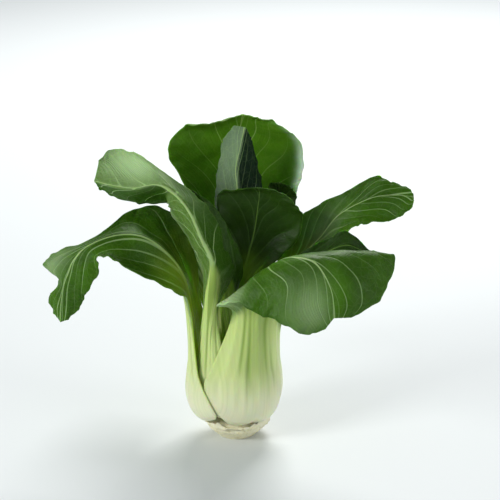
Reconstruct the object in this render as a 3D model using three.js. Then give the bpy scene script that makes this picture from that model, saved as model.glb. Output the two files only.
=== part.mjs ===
// A head of bok choy: thick pale stalks wrapped in a spiral round a short stem, each with a green blade.
// Millimetres, +Z up. The origin is the centre of the flat cut face under the stem.
import * as THREE from "three";

// Stem: the cut root end that all the stalks grow from
const STEM = {
  footRadius: 11,
  edgeRadius: 12.8,
  edgeHeight: 1.2,
  waistRadius: 18,
  waistHeight: 6,
  collarRadius: 21.2,
  collarHeight: 11,
  coneRadius: 19.2,
  coneFoot: 11.3,
  coneTop: 27,
  sides: 32,
};

// Bulb: radius of its outer surface at heights above the cut face
const BULB_PROFILE = [
  [2, 14.6],
  [9, 20.6],
  [14.5, 25.2],
  [22, 28.8],
  [30, 30.8],
  [42, 30.4],
  [56, 29.2],
  [70, 26.4],
];

// Each step deeper into the spiral, a stalk lies this much nearer to the axis
const LAYER_STEP = 2.3;
// Rows of a stalk inside the bulb: height, and share of the layer steps reached there
const BULB_ROWS = [
  { height: 19, layerRise: 0.9, inset: 0.9 },
  { height: 30, layerRise: 0, inset: 1 },
  { height: 42, layerRise: 0, inset: 1 },
  { height: 54, layerRise: 0, inset: 1 },
];
// Shares of the half span that a stalk reaches at its foot and at those rows
const SPANS = [0.88, 0.97, 1, 1, 0.86];
const FIT_GAP = 0.35;
// How sharply the edge of a stalk turns in where it is tucked against the stalks under it
const TUCK_TURN = 6;
const SPLIT_GAP = 1;

// Thickness of a stalk along its rows, at its middle and at its edges, and of a blade
const STALK_MIDDLE = [2.6, 4.2, 5.2, 5.2, 4.8, 3.6, 2.8, 2.2, 1.8, 1.5, 1.2, 1.0, 0.9, 0.8];
const STALK_EDGE = 1.0;
const STALK_CROWN = 1.5;
// A stalk nearer to the axis than this is thinner in proportion
const FULL_STALK_RADIUS = 14;
const WIDEST_HEIGHT = 30;
const BLADE_THICKNESS = 0.8;
const RIB_HALF_WIDTH = 3.2;
// Row at which the pale stalk ends and the green blade begins, and the rows over which the thickness
// changes over from the inner face to the outer one
const BLADE_START = 5.5;
const TURNOVER = [4, 6];

// The ripple of a margin grows from the neck and dies away at the tip, where a little of it is left, and
// the right margin ripples against the left one
const RIPPLE_RISE = 3;
const RIPPLE_FALL = 6;
const RIPPLE_AT_TIP = 0.3;
const RIGHT_RIPPLE = -0.8;
// Steps, in rows and across, over which the direction and the slope of a sheet are taken
const DIRECTION_STEP = 0.01;
const SLOPE_STEP = 0.02;
// The rib behind a blade takes up no more than this share of its half
const WIDEST_RIB = 0.3;

// Facets: rows per interval and columns across
const ROWS_PER_INTERVAL = 2;
const STALK_COLUMNS = [-1, -0.88, -0.66, -0.34, 0, 0.34, 0.66, 0.88, 1];
const BLADE_COLUMNS = [-1, -0.72, -0.4, 0, 0.4, 0.72, 1];

const COLOURS = {
  stem: 0xf1f0dc,
  outerStalk: 0xd3e2a4,
  innerStalk: 0xb9d27e,
  outerBlade: 0x3f6e33,
  innerBlade: 0x2c5a22,
};

// The leaves, from the outermost inwards. azimuth is the side that the stalk stands on, in degrees from
// the front (-Y) towards +X, and root the height of its foot. Each row of a blade has its left margin,
// midrib and right margin, and how far each half arches from a flat sheet. wave is the ripple of the
// margins: its height, its number along the blade and its phase. depth is how many steps into the spiral
// the stalk lies. tuck is how far its left and its right edge turn in, and leftSpans and rightSpans are the
// shares of the half span that they reach, where these differ from the other stalks'.
const LEAVES = [
  {
    name: "left_leaf",
    azimuth: -100,
    halfSpan: 54,
    depth: 0,
    root: 13.8,
    tuck: [1.2, 1.5],
    leftSpans: [0.95, 1.32, 1.19, 0.91, 0.7],
    wave: { height: 1.2, count: 3, phase: 1 },
    rows: [
      [[-28, -17, 91], [-29, -6, 89], [-22, 6, 85], -0.8, -0.8],
      [[-33, -25, 100], [-31, -12, 108], [-24, 8, 111], -3, -3],
      [[-49, -34, 112], [-41, -15, 123], [-34, 10, 135], -4, -5],
      [[-64, -38, 122], [-54, -17, 133], [-50, 5, 145], -4, -6],
      [[-76, -38, 127], [-69, -20, 135], [-66, -2, 143], -3, -4],
      [[-81, -35, 125], [-85, -26, 131], [-83, -13, 131], -1, -1],
      [[-80, -32, 116], [-94, -29, 123], [-106, -15, 122], 1, 1],
      [[-84, -31, 107], [-98, -29, 114], [-115, -14, 114], 1.5, 2],
      [[-89, -29, 99], [-101, -28, 106], [-104, -21, 107.5], 1.5, 1],
      [[-93, -27, 91], [-103, -27, 94], [-110.5, -21, 95], 1, 0.5],
      [[-99, -25, 84], [-104, -25, 82], [-108, -22, 87], 0, 0],
    ],
  },
  {
    name: "front_leaf",
    azimuth: 28,
    halfSpan: 62,
    depth: 0.7,
    root: 13.6,
    tuck: [1.5, 2.4],
    rightSpans: [0.7, 0.81, 1.02, 1.08, 0.89],
    wave: { height: 1.6, count: 2.5, phase: 0 },
    rows: [
      [[27, -16, 78], [13, -29, 86], [-2, -22, 87], -2.2, -2],
      [[36, -18, 99], [17, -33, 105], [-11.5, -36, 97], 0, 2],
      [[51, -22, 113], [22, -38, 122], [0, -51, 104], 3, 3.5],
      [[74, -25, 120], [31, -44, 129], [9, -58, 101], 4, 4],
      [[91, -31, 126], [43, -50, 129], [20, -62, 99], 4, 4],
      [[91, -41, 118], [50, -55, 123], [29, -65, 94], 4, 3],
      [[82, -52, 105], [55, -60, 112], [41, -66, 90], 3, 2],
      [[66, -60, 98], [56, -64, 99], [51, -66, 93], 0, 0],
    ],
  },
  {
    name: "back_leaf",
    azimuth: 175,
    halfSpan: 54,
    depth: 2,
    root: 15.4,
    wave: { height: 2, count: 3.5, phase: 1 },
    rows: [
      [[-6, 22, 90], [0, 28, 86], [8, 22, 90], -1, -1],
      [[-17, 25, 113], [0, 33, 108], [21, 25, 112], -3, -3],
      [[-27, 27, 134], [0, 38, 129], [33, 27, 131], -4, -4],
      [[-32, 28, 153], [1, 40, 148], [38, 28, 151], -4, -4],
      [[-41, 27, 170], [2, 39, 165], [41, 29, 169], -3, -3],
      [[-37, 26, 183], [2, 36, 179], [35, 28, 183], -2, -2],
      [[-24, 26, 190], [3, 32, 190], [24, 27, 190], -1, -1],
      [[-8, 27, 191], [4, 29, 195], [15, 27, 194], 0, 0],
    ],
  },
  {
    name: "left_front_leaf",
    azimuth: -50,
    halfSpan: 47,
    depth: 2.4,
    root: 15.8,
    tuck: [2, 1],
    leftSpans: [0.88, 0.9, 0.8, 0.72, 0.64],
    wave: { height: 0.8, count: 3, phase: 1 },
    rows: [
      [[-11, -19, 88], [-15, -27, 94], [-19, -20, 92], -0.6, -0.5],
      [[-2, -17, 110], [-13, -31, 120], [-20, -18, 116], -2.5, -2],
      [[-7, -15, 126], [-19, -31, 135], [-28, -12, 130], -3, -3],
      [[-13, -14, 143], [-26, -29, 151], [-37, -6, 144], -3, -3],
      [[-24, -15, 158], [-34, -26, 161], [-40, 0, 148], -2, -2],
      [[-52, -16, 180], [-45, -24, 167], [-42, 1, 148], 1, 1],
      [[-63, -4, 181], [-59, -15, 162], [-57, 0, 149], 2, -1],
      [[-73, 6, 180], [-72, -10, 162], [-72, 3, 152], 2, -1],
      [[-81, 4, 173.5], [-83, -3, 163], [-81, 3, 157], 0, 0],
    ],
  },
  {
    name: "right_leaf",
    azimuth: 90,
    halfSpan: 49,
    depth: 4,
    root: 16.4,
    wave: { height: 0.8, count: 2, phase: 0 },
    rows: [
      [[19, 8, 95], [22, 2, 96], [27, -4, 97], -1, -1],
      [[28, 18, 112], [36, 8, 110], [44, -2, 110], -3, -3],
      [[38, 20, 132], [50, 10, 123], [60, 0, 123], -3, -3],
      [[52, 20, 143], [60, 11, 136], [68, 1, 132], -2, -2],
      [[69, 18, 152], [71, 10, 144], [78, 0, 136], -1, -2],
      [[84, 14, 161], [84, 8, 150], [91, 0, 137.5], 2, -2],
      [[94, 10, 158.5], [96, 6, 151.5], [100, 1, 141], 1, -1],
      [[102.5, 7, 156], [104, 5, 151], [105, 3, 145], 0.5, -0.5],
      [[106, 5.5, 152.5], [106.3, 5, 150.5], [106.3, 4.5, 148.5], 0, 0],
    ],
  },
  {
    name: "back_left_leaf",
    azimuth: -132.5,
    halfSpan: 56,
    depth: 5,
    root: 17,
    wave: { height: 2, count: 2.5, phase: 0 },
    rows: [
      [[-16, 3, 70], [-12, 11, 71], [-5, 15, 70], -1.2, -1.2],
      [[-24, 13, 88], [-18, 18, 89], [-11, 20, 87], -1, -1],
      [[-33, 22, 102], [-25, 31, 104], [-13, 37, 102], -3, -3],
      [[-54, 28, 110], [-40, 48, 113], [-17, 56, 110], -4, -4],
      [[-68, 38, 107], [-50, 62, 114], [-24, 73, 110], -3, -3],
      [[-74, 54, 97], [-58, 76, 106], [-36, 84, 101], -2, -2],
      [[-67, 76, 88], [-63, 83, 92], [-56, 86, 89], 0, 0],
    ],
  },
  {
    name: "inner_front_leaf",
    azimuth: 5,
    halfSpan: 38,
    depth: 6,
    root: 18,
    wave: { height: 0.8, count: 2, phase: 0 },
    rows: [
      [[0, -8, 90], [-5, -14, 92], [-10, -9, 90], -1, -1],
      [[4, -7, 109], [-4, -12, 113], [-14, -5, 112], -2, -2],
      [[-1, -7, 128], [-10, -11, 129], [-21, -1, 128], -2, -2],
      [[-10, -8, 144], [-18, -9, 144], [-30, 2, 141], -2, -2],
      [[-20, -7, 155], [-24, -5, 152], [-32, 3, 148], -1, -1],
      [[-26, -4, 158], [-28, -2, 156], [-31, 2, 154], 0, 0],
    ],
  },
  {
    name: "inner_back_leaf",
    azimuth: 142.5,
    halfSpan: 52,
    depth: 7,
    root: 19,
    wave: { height: 1, count: 2, phase: 0 },
    rows: [
      [[8, 13, 97], [12, 16, 96], [15, 13, 97], -1, -1],
      [[9, 17, 119], [18, 22, 117], [26, 16, 119], -2, -2],
      [[16, 22, 137], [24, 27, 135], [34, 20, 137], -2, -2],
      [[19, 24, 149], [26, 26, 148], [36, 21, 147], -1, -1],
      [[21, 23, 154], [26, 23, 154], [32, 21, 153], 0, 0],
    ],
  },
  {
    name: "folded_leaf",
    azimuth: -80,
    halfSpan: 50,
    depth: 8,
    root: 20,
    wave: { height: 0.5, count: 2, phase: 0 },
    rows: [
      [[-9, 0, 91], [-12, 4, 90], [-9, 9, 89], -1, -1],
      [[6, 12, 116], [-3, 7, 116], [-9, 14, 114], -2, -2],
      [[13, 19, 136], [0.5, 5.5, 138], [-12, 16, 136], -3, -2],
      [[15, 23, 151], [1, 4.5, 154], [-12, 17, 152], -4, -2],
      [[12, 22, 168], [0, 4, 168], [-10, 16, 170], -4, -2],
      [[9, 17, 182], [2.5, 4, 181], [-6.5, 14, 184], -2, -1],
      [[7.5, 10, 189], [5, 7, 193], [-0.5, 11, 193], 0, 0],
    ],
  },
  {
    name: "inner_right_leaf",
    azimuth: 57.5,
    halfSpan: 50,
    depth: 9,
    root: 21,
    wave: { height: 1, count: 2, phase: 0 },
    rows: [
      [[19, -4, 95], [22, -9, 95], [24, -15, 96], -1, -1],
      [[34, -5, 115], [38, -11, 114], [40, -18, 112], -2, -2],
      [[53, -5, 127], [53, -10, 121], [56, -17, 116], -2, -2],
      [[65, -4, 132], [66, -9, 125], [68, -16, 117], -1, -2],
      [[77, -4, 123], [78, -8, 120], [78, -14, 116], -1, -1],
      [[84, -6, 120], [85, -8, 119], [84, -11, 116], 0, 0],
    ],
  },
  {
    name: "centre_leaf",
    azimuth: -165,
    halfSpan: 46,
    depth: 10,
    root: 22.2,
    wave: { height: 1, count: 2.5, phase: 0 },
    rows: [
      [[-2, -2, 94], [2, 1, 93], [7, -1, 94], -0.5, -0.5],
      [[-5, -2, 115], [7, 1, 114], [22, -2, 111], -2, -2],
      [[-9, -3, 133], [11, 2, 130], [36, -3, 126], -3, -3],
      [[-11, -3, 147], [13, 1, 145], [39, -5, 141], -2, -2],
      [[-9, -2, 156], [14, 0, 154], [34, -5, 150], -1, -1],
      [[2, -2, 157], [13, -2, 158], [23, -4, 158], 0, 0],
    ],
  },
  {
    name: "heart_front_leaf",
    azimuth: -27.5,
    halfSpan: 44,
    depth: 11,
    root: 23.4,
    wave: { height: 0.4, count: 2, phase: 0 },
    rows: [
      [[-1, -4, 76], [-4, -4, 78], [-6, -2, 76], -0.5, -0.5],
      [[-1, -5, 88], [-5, -4, 90], [-8, -1, 88], -1, -1],
      [[-1, -5, 98], [-5, -4, 100], [-9, 0, 98], -1, -1],
      [[-3, -4, 106], [-5, -3, 108], [-7, -1, 106], 0, 0],
    ],
  },
];
const OUTER_LEAVES = 6;

function bulbRadius(height) {
  const above = BULB_PROFILE.findIndex(([z]) => z > height);
  const [z0, r0] = BULB_PROFILE[above - 1];
  const [z1, r1] = BULB_PROFILE[above];
  return r0 + ((r1 - r0) * (height - z0)) / (z1 - z0);
}

function coneRadius(height) {
  const share = (STEM.coneTop - height) / (STEM.coneTop - STEM.coneFoot);
  return STEM.coneRadius * share;
}

// A row of the stalk inside the bulb: an arc about the axis, from its left edge to its right one
function arcRow(azimuth, [leftAngle, rightAngle], radius, height, [tuckLeft, tuckRight] = [0, 0]) {
  const at = (degrees) => {
    const angle = THREE.MathUtils.degToRad(degrees);
    return new THREE.Vector3(radius * Math.sin(angle), -radius * Math.cos(angle), height);
  };
  // Arched so far that the middle of each half lies on the circle as well
  const arch = (degrees) => {
    const angle = THREE.MathUtils.degToRad(degrees);
    return radius * ((1 + Math.cos(angle)) / 2 - Math.sqrt(1 - (Math.sin(angle) / 2) ** 2));
  };
  return {
    left: at(azimuth + leftAngle),
    rib: at(azimuth),
    right: at(azimuth - rightAngle),
    archLeft: arch(leftAngle),
    archRight: arch(rightAngle),
    tuckLeft,
    tuckRight,
  };
}

function bladeRow([left, rib, right, archLeft, archRight]) {
  return {
    left: new THREE.Vector3(...left),
    rib: new THREE.Vector3(...rib),
    right: new THREE.Vector3(...right),
    archLeft,
    archRight,
    tuckLeft: 0,
    tuckRight: 0,
  };
}

function leafRows({ azimuth, halfSpan, depth, root, tuck, leftSpans = SPANS, rightSpans = SPANS, rows }) {
  const angles = (i) => [halfSpan * leftSpans[i], halfSpan * rightSpans[i]];
  const rootRadius = coneRadius(root) + FIT_GAP + STALK_MIDDLE[0];
  const stalk = BULB_ROWS.map(({ height, layerRise, inset }, i) => {
    const z = height + layerRise * depth;
    return arcRow(azimuth, angles(i + 1), bulbRadius(z) - depth * LAYER_STEP * inset, z, tuck);
  });
  return [arcRow(azimuth, angles(0), rootRadius, root), ...stalk, ...rows.map(bladeRow)];
}

// A value of the rows at a fractional row: a smooth curve through all of them
function alongRows(rows, key, at) {
  const last = rows.length - 1;
  const index = Math.min(Math.floor(at), last - 1);
  const t = at - index;
  const value = (i) => {
    const v = rows[THREE.MathUtils.clamp(i, 0, last)][key];
    return typeof v === "number" ? new THREE.Vector3(v, 0, 0) : v;
  };
  const [p1, p2] = [value(index), value(index + 1)];
  const p0 = index > 0 ? value(index - 1) : p1.clone().multiplyScalar(2).sub(p2);
  const p3 = index + 2 <= last ? value(index + 2) : p2.clone().multiplyScalar(2).sub(p1);
  const curve = (a, b, c, d) =>
    0.5 * (2 * b + (c - a) * t + (2 * a - 5 * b + 4 * c - d) * t * t + (3 * b - a - 3 * c + d) * t ** 3);
  return new THREE.Vector3(
    curve(p0.x, p1.x, p2.x, p3.x),
    curve(p0.y, p1.y, p2.y, p3.y),
    curve(p0.z, p1.z, p2.z, p3.z),
  );
}

// A point of the leaf's sheet: row is a fractional row and across runs from -1, left, to 1, right
function sheetPoint(rows, wave, row, across) {
  const [side, arch, tuck] =
    across < 0 ? ["left", "archLeft", "tuckLeft"] : ["right", "archRight", "tuckRight"];
  const a = Math.abs(across);
  const rib = alongRows(rows, "rib", row);
  const margin = alongRows(rows, side, row);
  const last = rows.length - 1;
  const along = alongRows(rows, "rib", Math.min(row + DIRECTION_STEP, last)).sub(
    alongRows(rows, "rib", Math.max(row - DIRECTION_STEP, 0)),
  );
  const width = alongRows(rows, "right", row).sub(alongRows(rows, "left", row));
  const face = width.cross(along).normalize();
  const t = THREE.MathUtils.clamp((row - BLADE_START) / (last - BLADE_START), 0, 1);
  const fade = Math.min(1, RIPPLE_RISE * t) * Math.min(1, RIPPLE_AT_TIP + RIPPLE_FALL * (1 - t));
  const turn = Math.sin(2 * Math.PI * wave.count * t + wave.phase) * (across < 0 ? 1 : RIGHT_RIPPLE);
  const lift =
    4 * alongRows(rows, arch, row).x * a * (1 - a) +
    alongRows(rows, tuck, row).x * a ** TUCK_TURN +
    wave.height * a * a * turn * fade;
  return rib.lerp(margin, a).addScaledVector(face, lift);
}

function sheetNormal(rows, wave, row, across) {
  const last = rows.length - 1;
  const point = (r, u) =>
    sheetPoint(rows, wave, THREE.MathUtils.clamp(r, 0, last), THREE.MathUtils.clamp(u, -1, 1));
  const along = point(row + SLOPE_STEP, across).sub(point(row - SLOPE_STEP, across));
  const over = point(row, across + SLOPE_STEP).sub(point(row, across - SLOPE_STEP));
  return over.cross(along).normalize();
}

// Thickness of the leaf: a crescent in the stalk, and in the blade a thin sheet with a rib behind it
function thickness(row, across, share) {
  const index = Math.min(Math.floor(row), STALK_MIDDLE.length - 2);
  const full = THREE.MathUtils.lerp(STALK_MIDDLE[index], STALK_MIDDLE[index + 1], row - index);
  const middle = Math.max(full * share, STALK_EDGE);
  if (row <= BLADE_START) {
    return STALK_EDGE + (middle - STALK_EDGE) * (1 - Math.abs(across) ** STALK_CROWN);
  }
  return across === 0 ? Math.max(middle, BLADE_THICKNESS) : BLADE_THICKNESS;
}

// One closed shell between the inner and the outer face of the leaf, over some rows and columns. Both
// faces are split into triangles alike.
function leafShell({ rows, wave, share }, from, to, columns, ribbed) {
  const count = Math.round((to - from) * ROWS_PER_INTERVAL);
  const faces = [[], []];
  for (let i = 0; i <= count; i += 1) {
    const row = from + ((to - from) * i) / count;
    const halfWidth = alongRows(rows, "right", row).distanceTo(alongRows(rows, "rib", row));
    const rib = Math.min(WIDEST_RIB, RIB_HALF_WIDTH / halfWidth);
    const across = ribbed ? [...columns.slice(0, 3), -rib, 0, rib, ...columns.slice(4)] : columns;
    for (const u of across) {
      const point = sheetPoint(rows, wave, row, u);
      const normal = sheetNormal(rows, wave, row, u);
      const thick = thickness(row, u, share);
      const inward = 1 - THREE.MathUtils.smoothstep(row, ...TURNOVER);
      faces[0].push(point.clone().addScaledVector(normal, thick * inward));
      faces[1].push(point.clone().addScaledVector(normal, -thick * (1 - inward)));
    }
  }
  return closedShell(faces, count + 1, faces[0].length / (count + 1));
}

function closedShell([inner, outer], rowCount, columnCount) {
  const positions = [...inner, ...outer].flatMap((p) => [p.x, p.y, p.z]);
  const offset = inner.length;
  const at = (i, j) => i * columnCount + j;
  const index = [];
  const wall = (a, b) => index.push(a, b, b + offset, a, b + offset, a + offset);
  for (let i = 0; i + 1 < rowCount; i += 1) {
    for (let j = 0; j + 1 < columnCount; j += 1) {
      const [a, b, c, d] = [at(i, j), at(i, j + 1), at(i + 1, j + 1), at(i + 1, j)];
      index.push(a, b, c, a, c, d);
      index.push(a + offset, c + offset, b + offset, a + offset, d + offset, c + offset);
    }
    wall(at(i, 0), at(i + 1, 0));
    wall(at(i + 1, columnCount - 1), at(i, columnCount - 1));
  }
  for (let j = 0; j + 1 < columnCount; j += 1) {
    wall(at(0, j + 1), at(0, j));
    wall(at(rowCount - 1, j), at(rowCount - 1, j + 1));
  }
  const geometry = new THREE.BufferGeometry();
  geometry.setAttribute("position", new THREE.Float32BufferAttribute(positions, 3));
  geometry.setIndex(index);
  geometry.computeVertexNormals();
  return geometry;
}

function part(name, geometry, colour, roughness) {
  const material = new THREE.MeshStandardMaterial({
    color: colour,
    roughness,
    metalness: 0,
  });
  const mesh = new THREE.Mesh(geometry, material);
  mesh.name = name;
  return mesh;
}

function makeStem() {
  const profile = [
    [0, 0],
    [STEM.footRadius, 0],
    [STEM.edgeRadius, STEM.edgeHeight],
    [STEM.waistRadius, STEM.waistHeight],
    [STEM.collarRadius, STEM.collarHeight],
    [STEM.coneRadius, STEM.coneFoot],
    [0, STEM.coneTop],
  ].map(([radius, height]) => new THREE.Vector2(radius, height));
  const stem = new THREE.LatheGeometry(profile, STEM.sides);
  stem.rotateX(Math.PI / 2);
  return part("stem_base", stem, COLOURS.stem, 0.6);
}

function makeLeaf(leaf, layer) {
  const rows = leafRows(leaf);
  const last = rows.length - 1;
  const isOuter = layer < OUTER_LEAVES;
  const rowLength = alongRows(rows, "rib", BLADE_START + 0.5).distanceTo(
    alongRows(rows, "rib", BLADE_START - 0.5),
  );
  const bladeStart = BLADE_START + SPLIT_GAP / rowLength;
  const bulbSide = bulbRadius(WIDEST_HEIGHT) - leaf.depth * LAYER_STEP;
  const sheet = { rows, wave: leaf.wave, share: Math.min(1, bulbSide / FULL_STALK_RADIUS) };
  const stalk = leafShell(sheet, 0, BLADE_START, STALK_COLUMNS, false);
  const blade = leafShell(sheet, bladeStart, last, BLADE_COLUMNS, true);
  const pair = new THREE.Group();
  pair.add(part(`${leaf.name}_stalk`, stalk, isOuter ? COLOURS.outerStalk : COLOURS.innerStalk, 0.5));
  pair.add(part(`${leaf.name}_blade`, blade, isOuter ? COLOURS.outerBlade : COLOURS.innerBlade, 0.45));
  return pair;
}

const head = new THREE.Group();
head.add(makeStem());
LEAVES.forEach((leaf, layer) => head.add(makeLeaf(leaf, layer)));

export default head;
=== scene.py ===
"""A head of bok choy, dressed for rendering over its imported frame.

Every leaf is one closed sheet, from the foot of its pale stalk to the tip of its green blade, and
stands for the two solids of that leaf. Lengths in the tables are millimetres, as in the frame's
own drawing, and meshes are metres.
"""

from __future__ import annotations

import logging
import math
from collections.abc import Iterator
from dataclasses import dataclass
from enum import Enum

import bmesh
import bpy
import numpy as np
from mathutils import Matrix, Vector

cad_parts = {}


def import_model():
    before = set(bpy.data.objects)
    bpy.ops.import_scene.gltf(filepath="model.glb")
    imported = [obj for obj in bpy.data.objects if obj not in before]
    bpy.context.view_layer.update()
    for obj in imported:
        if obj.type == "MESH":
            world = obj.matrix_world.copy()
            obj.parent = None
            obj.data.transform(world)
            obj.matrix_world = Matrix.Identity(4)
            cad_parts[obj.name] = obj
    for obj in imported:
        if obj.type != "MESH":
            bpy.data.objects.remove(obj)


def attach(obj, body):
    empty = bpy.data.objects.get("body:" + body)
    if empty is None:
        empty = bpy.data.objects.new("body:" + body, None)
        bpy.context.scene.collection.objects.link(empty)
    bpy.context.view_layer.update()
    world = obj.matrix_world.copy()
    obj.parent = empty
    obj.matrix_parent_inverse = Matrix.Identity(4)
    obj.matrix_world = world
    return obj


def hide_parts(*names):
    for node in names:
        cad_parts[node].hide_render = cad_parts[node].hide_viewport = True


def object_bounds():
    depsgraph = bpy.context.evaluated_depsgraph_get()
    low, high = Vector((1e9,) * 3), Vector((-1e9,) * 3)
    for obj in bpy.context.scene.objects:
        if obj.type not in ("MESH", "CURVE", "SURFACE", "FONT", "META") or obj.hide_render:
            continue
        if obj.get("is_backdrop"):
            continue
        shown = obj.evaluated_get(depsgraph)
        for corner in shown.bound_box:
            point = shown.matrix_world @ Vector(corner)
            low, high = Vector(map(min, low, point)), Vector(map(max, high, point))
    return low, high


LOG = logging.getLogger("bok_choy")
MM = 0.001
BODY = "root"

# What the leaf maps hold: millimetres across and along the leaf that a map's full width stands for
METRIC_ACROSS = 200.0
METRIC_ALONG = 400.0
# Maps of single values: the outer face, the turned side with its painted shade, the painted sheen, and
# the stalk's furrows
FACE_MAPS = ("outer_face", "turned_side_and_shade_map", "painted_sheen", "furrow")
# How the small waves of one leaf are shifted against those of the next, in radians
SEED_STEP = 1.7
# Lateral veins: radians that their wandering turns along and across a blade, and how their strength
# swings from one to the next
WANDER_ALONG = 13.0
WANDER_ACROSS = 5.0
STRENGTH_MEAN = 0.62
STRENGTH_SWING = 0.38
STRENGTH_STEP = 2.4
# Places across and half widths in millimetres are kept above these, where veins divide by them
LEAST_ACROSS = 0.02
LEAST_HALF_WIDTH = 0.1
# Leaves whose place in the spiral is below the first number are outer leaves, and leaves from the
# second one on are narrow
OUTER_LEAVES = 6
FIRST_NARROW_LEAF = 8
# Where the values of a leaf's row stand: three points, and an arch and a tuck for each half
LEFT_EDGE, MIDRIB, RIGHT_EDGE = slice(0, 3), slice(3, 6), slice(6, 9)
LEFT_ARCH, RIGHT_ARCH, LEFT_TUCK, RIGHT_TUCK = 9, 10, 11, 12
# Middle of the head, which the lamps in front of it look at, in metres
HEAD_MIDDLE = (0, 0, 0.1)


@dataclass(frozen=True)
class Bulb:
    """How the stalks wrap round each other at the foot of the head, in millimetres.

    Args:
        profile: Height above the cut face and radius of the bulb's outer surface.
        layer_step: How much nearer to the axis a stalk lies with each step into the spiral.
        rows: Height, rise per step of depth and share of the inset of each row of a stalk.
        spans: Shares of the half span that a stalk reaches at its foot and at those rows.
        fit_gap: Room between the foot of a stalk and the cone of the stem.
        tuck_turn: How sharply the edge of a stalk turns in against the stalks under it.
        full_stalk_radius: Distance from the axis at which a stalk has its full thickness.
        widest_height: Height at which the bulb is widest.
    """

    profile: tuple = (
        (2, 14.6),
        (9, 20.6),
        (14.5, 25.2),
        (22, 28.8),
        (30, 30.8),
        (42, 30.4),
        (56, 29.2),
        (70, 26.4),
    )
    layer_step: float = 2.3
    rows: tuple = ((19, 0.9, 0.9), (30, 0, 1), (42, 0, 1), (54, 0, 1))
    spans: tuple = (0.88, 0.97, 1, 1, 0.86)
    fit_gap: float = 0.35
    tuck_turn: float = 6
    full_stalk_radius: float = 14
    widest_height: float = 30

    def radius(self, height: float) -> float:
        """Radius of the bulb at a height above the cut face."""
        heights, radii = zip(*self.profile)
        return float(np.interp(height, heights, radii))


@dataclass(frozen=True)
class Flesh:
    """Thickness of a leaf along its rows, in millimetres.

    Args:
        stalk_middle: Thickness of the middle of a stalk at each row.
        stalk_edge: Thickness of its edges.
        stalk_crown: How full the curve between them is.
        blade: Thickness of a blade.
        rib_half_width: Half width of the midrib where the blade begins.
        blade_start: Row at which the pale stalk ends and the green blade begins.
        turnover: Rows over which the thickness changes over from the inner face to the outer one.
    """

    stalk_middle: tuple = (2.6, 4.2, 5.2, 5.2, 4.8, 3.6, 2.8, 2.2, 1.8, 1.5, 1.2, 1.0, 0.9, 0.8)
    stalk_edge: float = 1.0
    stalk_crown: float = 1.5
    blade: float = 0.7
    rib_half_width: float = 3.0
    blade_start: float = 5.5
    turnover: tuple = (4, 6)


@dataclass(frozen=True)
class Relief:
    """Heights of the small forms of a leaf's faces, in millimetres.

    Args:
        swell: Broad cushions all over a blade.
        grain: Fine unevenness all over a blade.
        crinkle: Folds that run out to the margins.
        ruffle: Lift of the margins.
        scallop: Long waves in which the margins stand out.
        nick: Short waves in which they stand out.
        streaks: Radians across a stalk and height of each run of fibres up it.
        inner_streaks: Share of the fibres' height on the face that looks into the head.
    """

    swell: float = 0.55
    grain: float = 0.07
    crinkle: float = 0.2
    ruffle: float = 0.5
    scallop: float = 0.34
    nick: float = 0.09
    streaks: tuple = ((9.0, 0.36), (17.0, 0.24), (34.0, 0.20), (57.0, 0.04))
    inner_streaks: float = 0.4


BULB = Bulb()
FLESH = Flesh()
RELIEF = Relief()


class Tone(Enum):
    """How green a leaf's blade is: the thin back leaf is painted lighter, as lit through, and leaves
    inside the head darker, partly as painted shade.
    """

    OUTER = "outer"
    BACKLIT = "backlit"
    FOLDED = "folded"
    INNER = "inner"


@dataclass(frozen=True)
class Wave:
    """The ripple of a blade's margins.

    Args:
        height: How far the margin leaves the sheet, in millimetres.
        count: Ripples along the blade.
        phase: Where the first ripple starts, in radians.
    """

    height: float
    count: float
    phase: float


@dataclass(frozen=True)
class VeinPattern:
    """The run of a blade's lateral veins, shared by its relief and its colours.

    A vein's number along the blade is (t - sweep * |across| ** bend) * count, with t from 0 at the
    neck to 1 at the tip, so that each leaves the midrib along it and bends out to the margin.

    Args:
        count: Veins on each side.
        sweep: How far towards the tip a vein has run when it meets the margin.
        bend: How sharply it turns out, from 0 to 1.
        wander: How far it strays to either side.
        groove: Depth of the furrow over a vein, in millimetres.
        pucker: Height of the cushions between veins, in millimetres.
        width: Half width of the furrow, in millimetres.
    """

    count: float = 5.0
    sweep: float = 0.72
    bend: float = 0.6
    wander: float = 0.03
    groove: float = 0.2
    pucker: float = 0.42
    width: float = 0.9


@dataclass(frozen=True)
class Turn:
    """Where half of a blade turns its deep green side out, a mark that also paints shade on a half
    turned from the light.

    Args:
        side: The half, -1 for the left one and 1 for the right one.
        first: Row at which it sets in.
        last: Row at which it ends.
    """

    side: int
    first: float
    last: float


@dataclass(frozen=True)
class PaintedSheen:
    """A soft pale patch of a blade, a painted sheen where light catches it.

    Args:
        row: Row of its middle.
        across: Place across of its middle, from -1 at the left margin to 1 at the right one.
        row_reach: How far it fades out along the blade, in rows.
        across_reach: How far it fades out across the blade.
        strength: How strongly its middle is painted pale, from 0 to 1 and over.
    """

    row: float
    across: float
    row_reach: float
    across_reach: float
    strength: float


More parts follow.
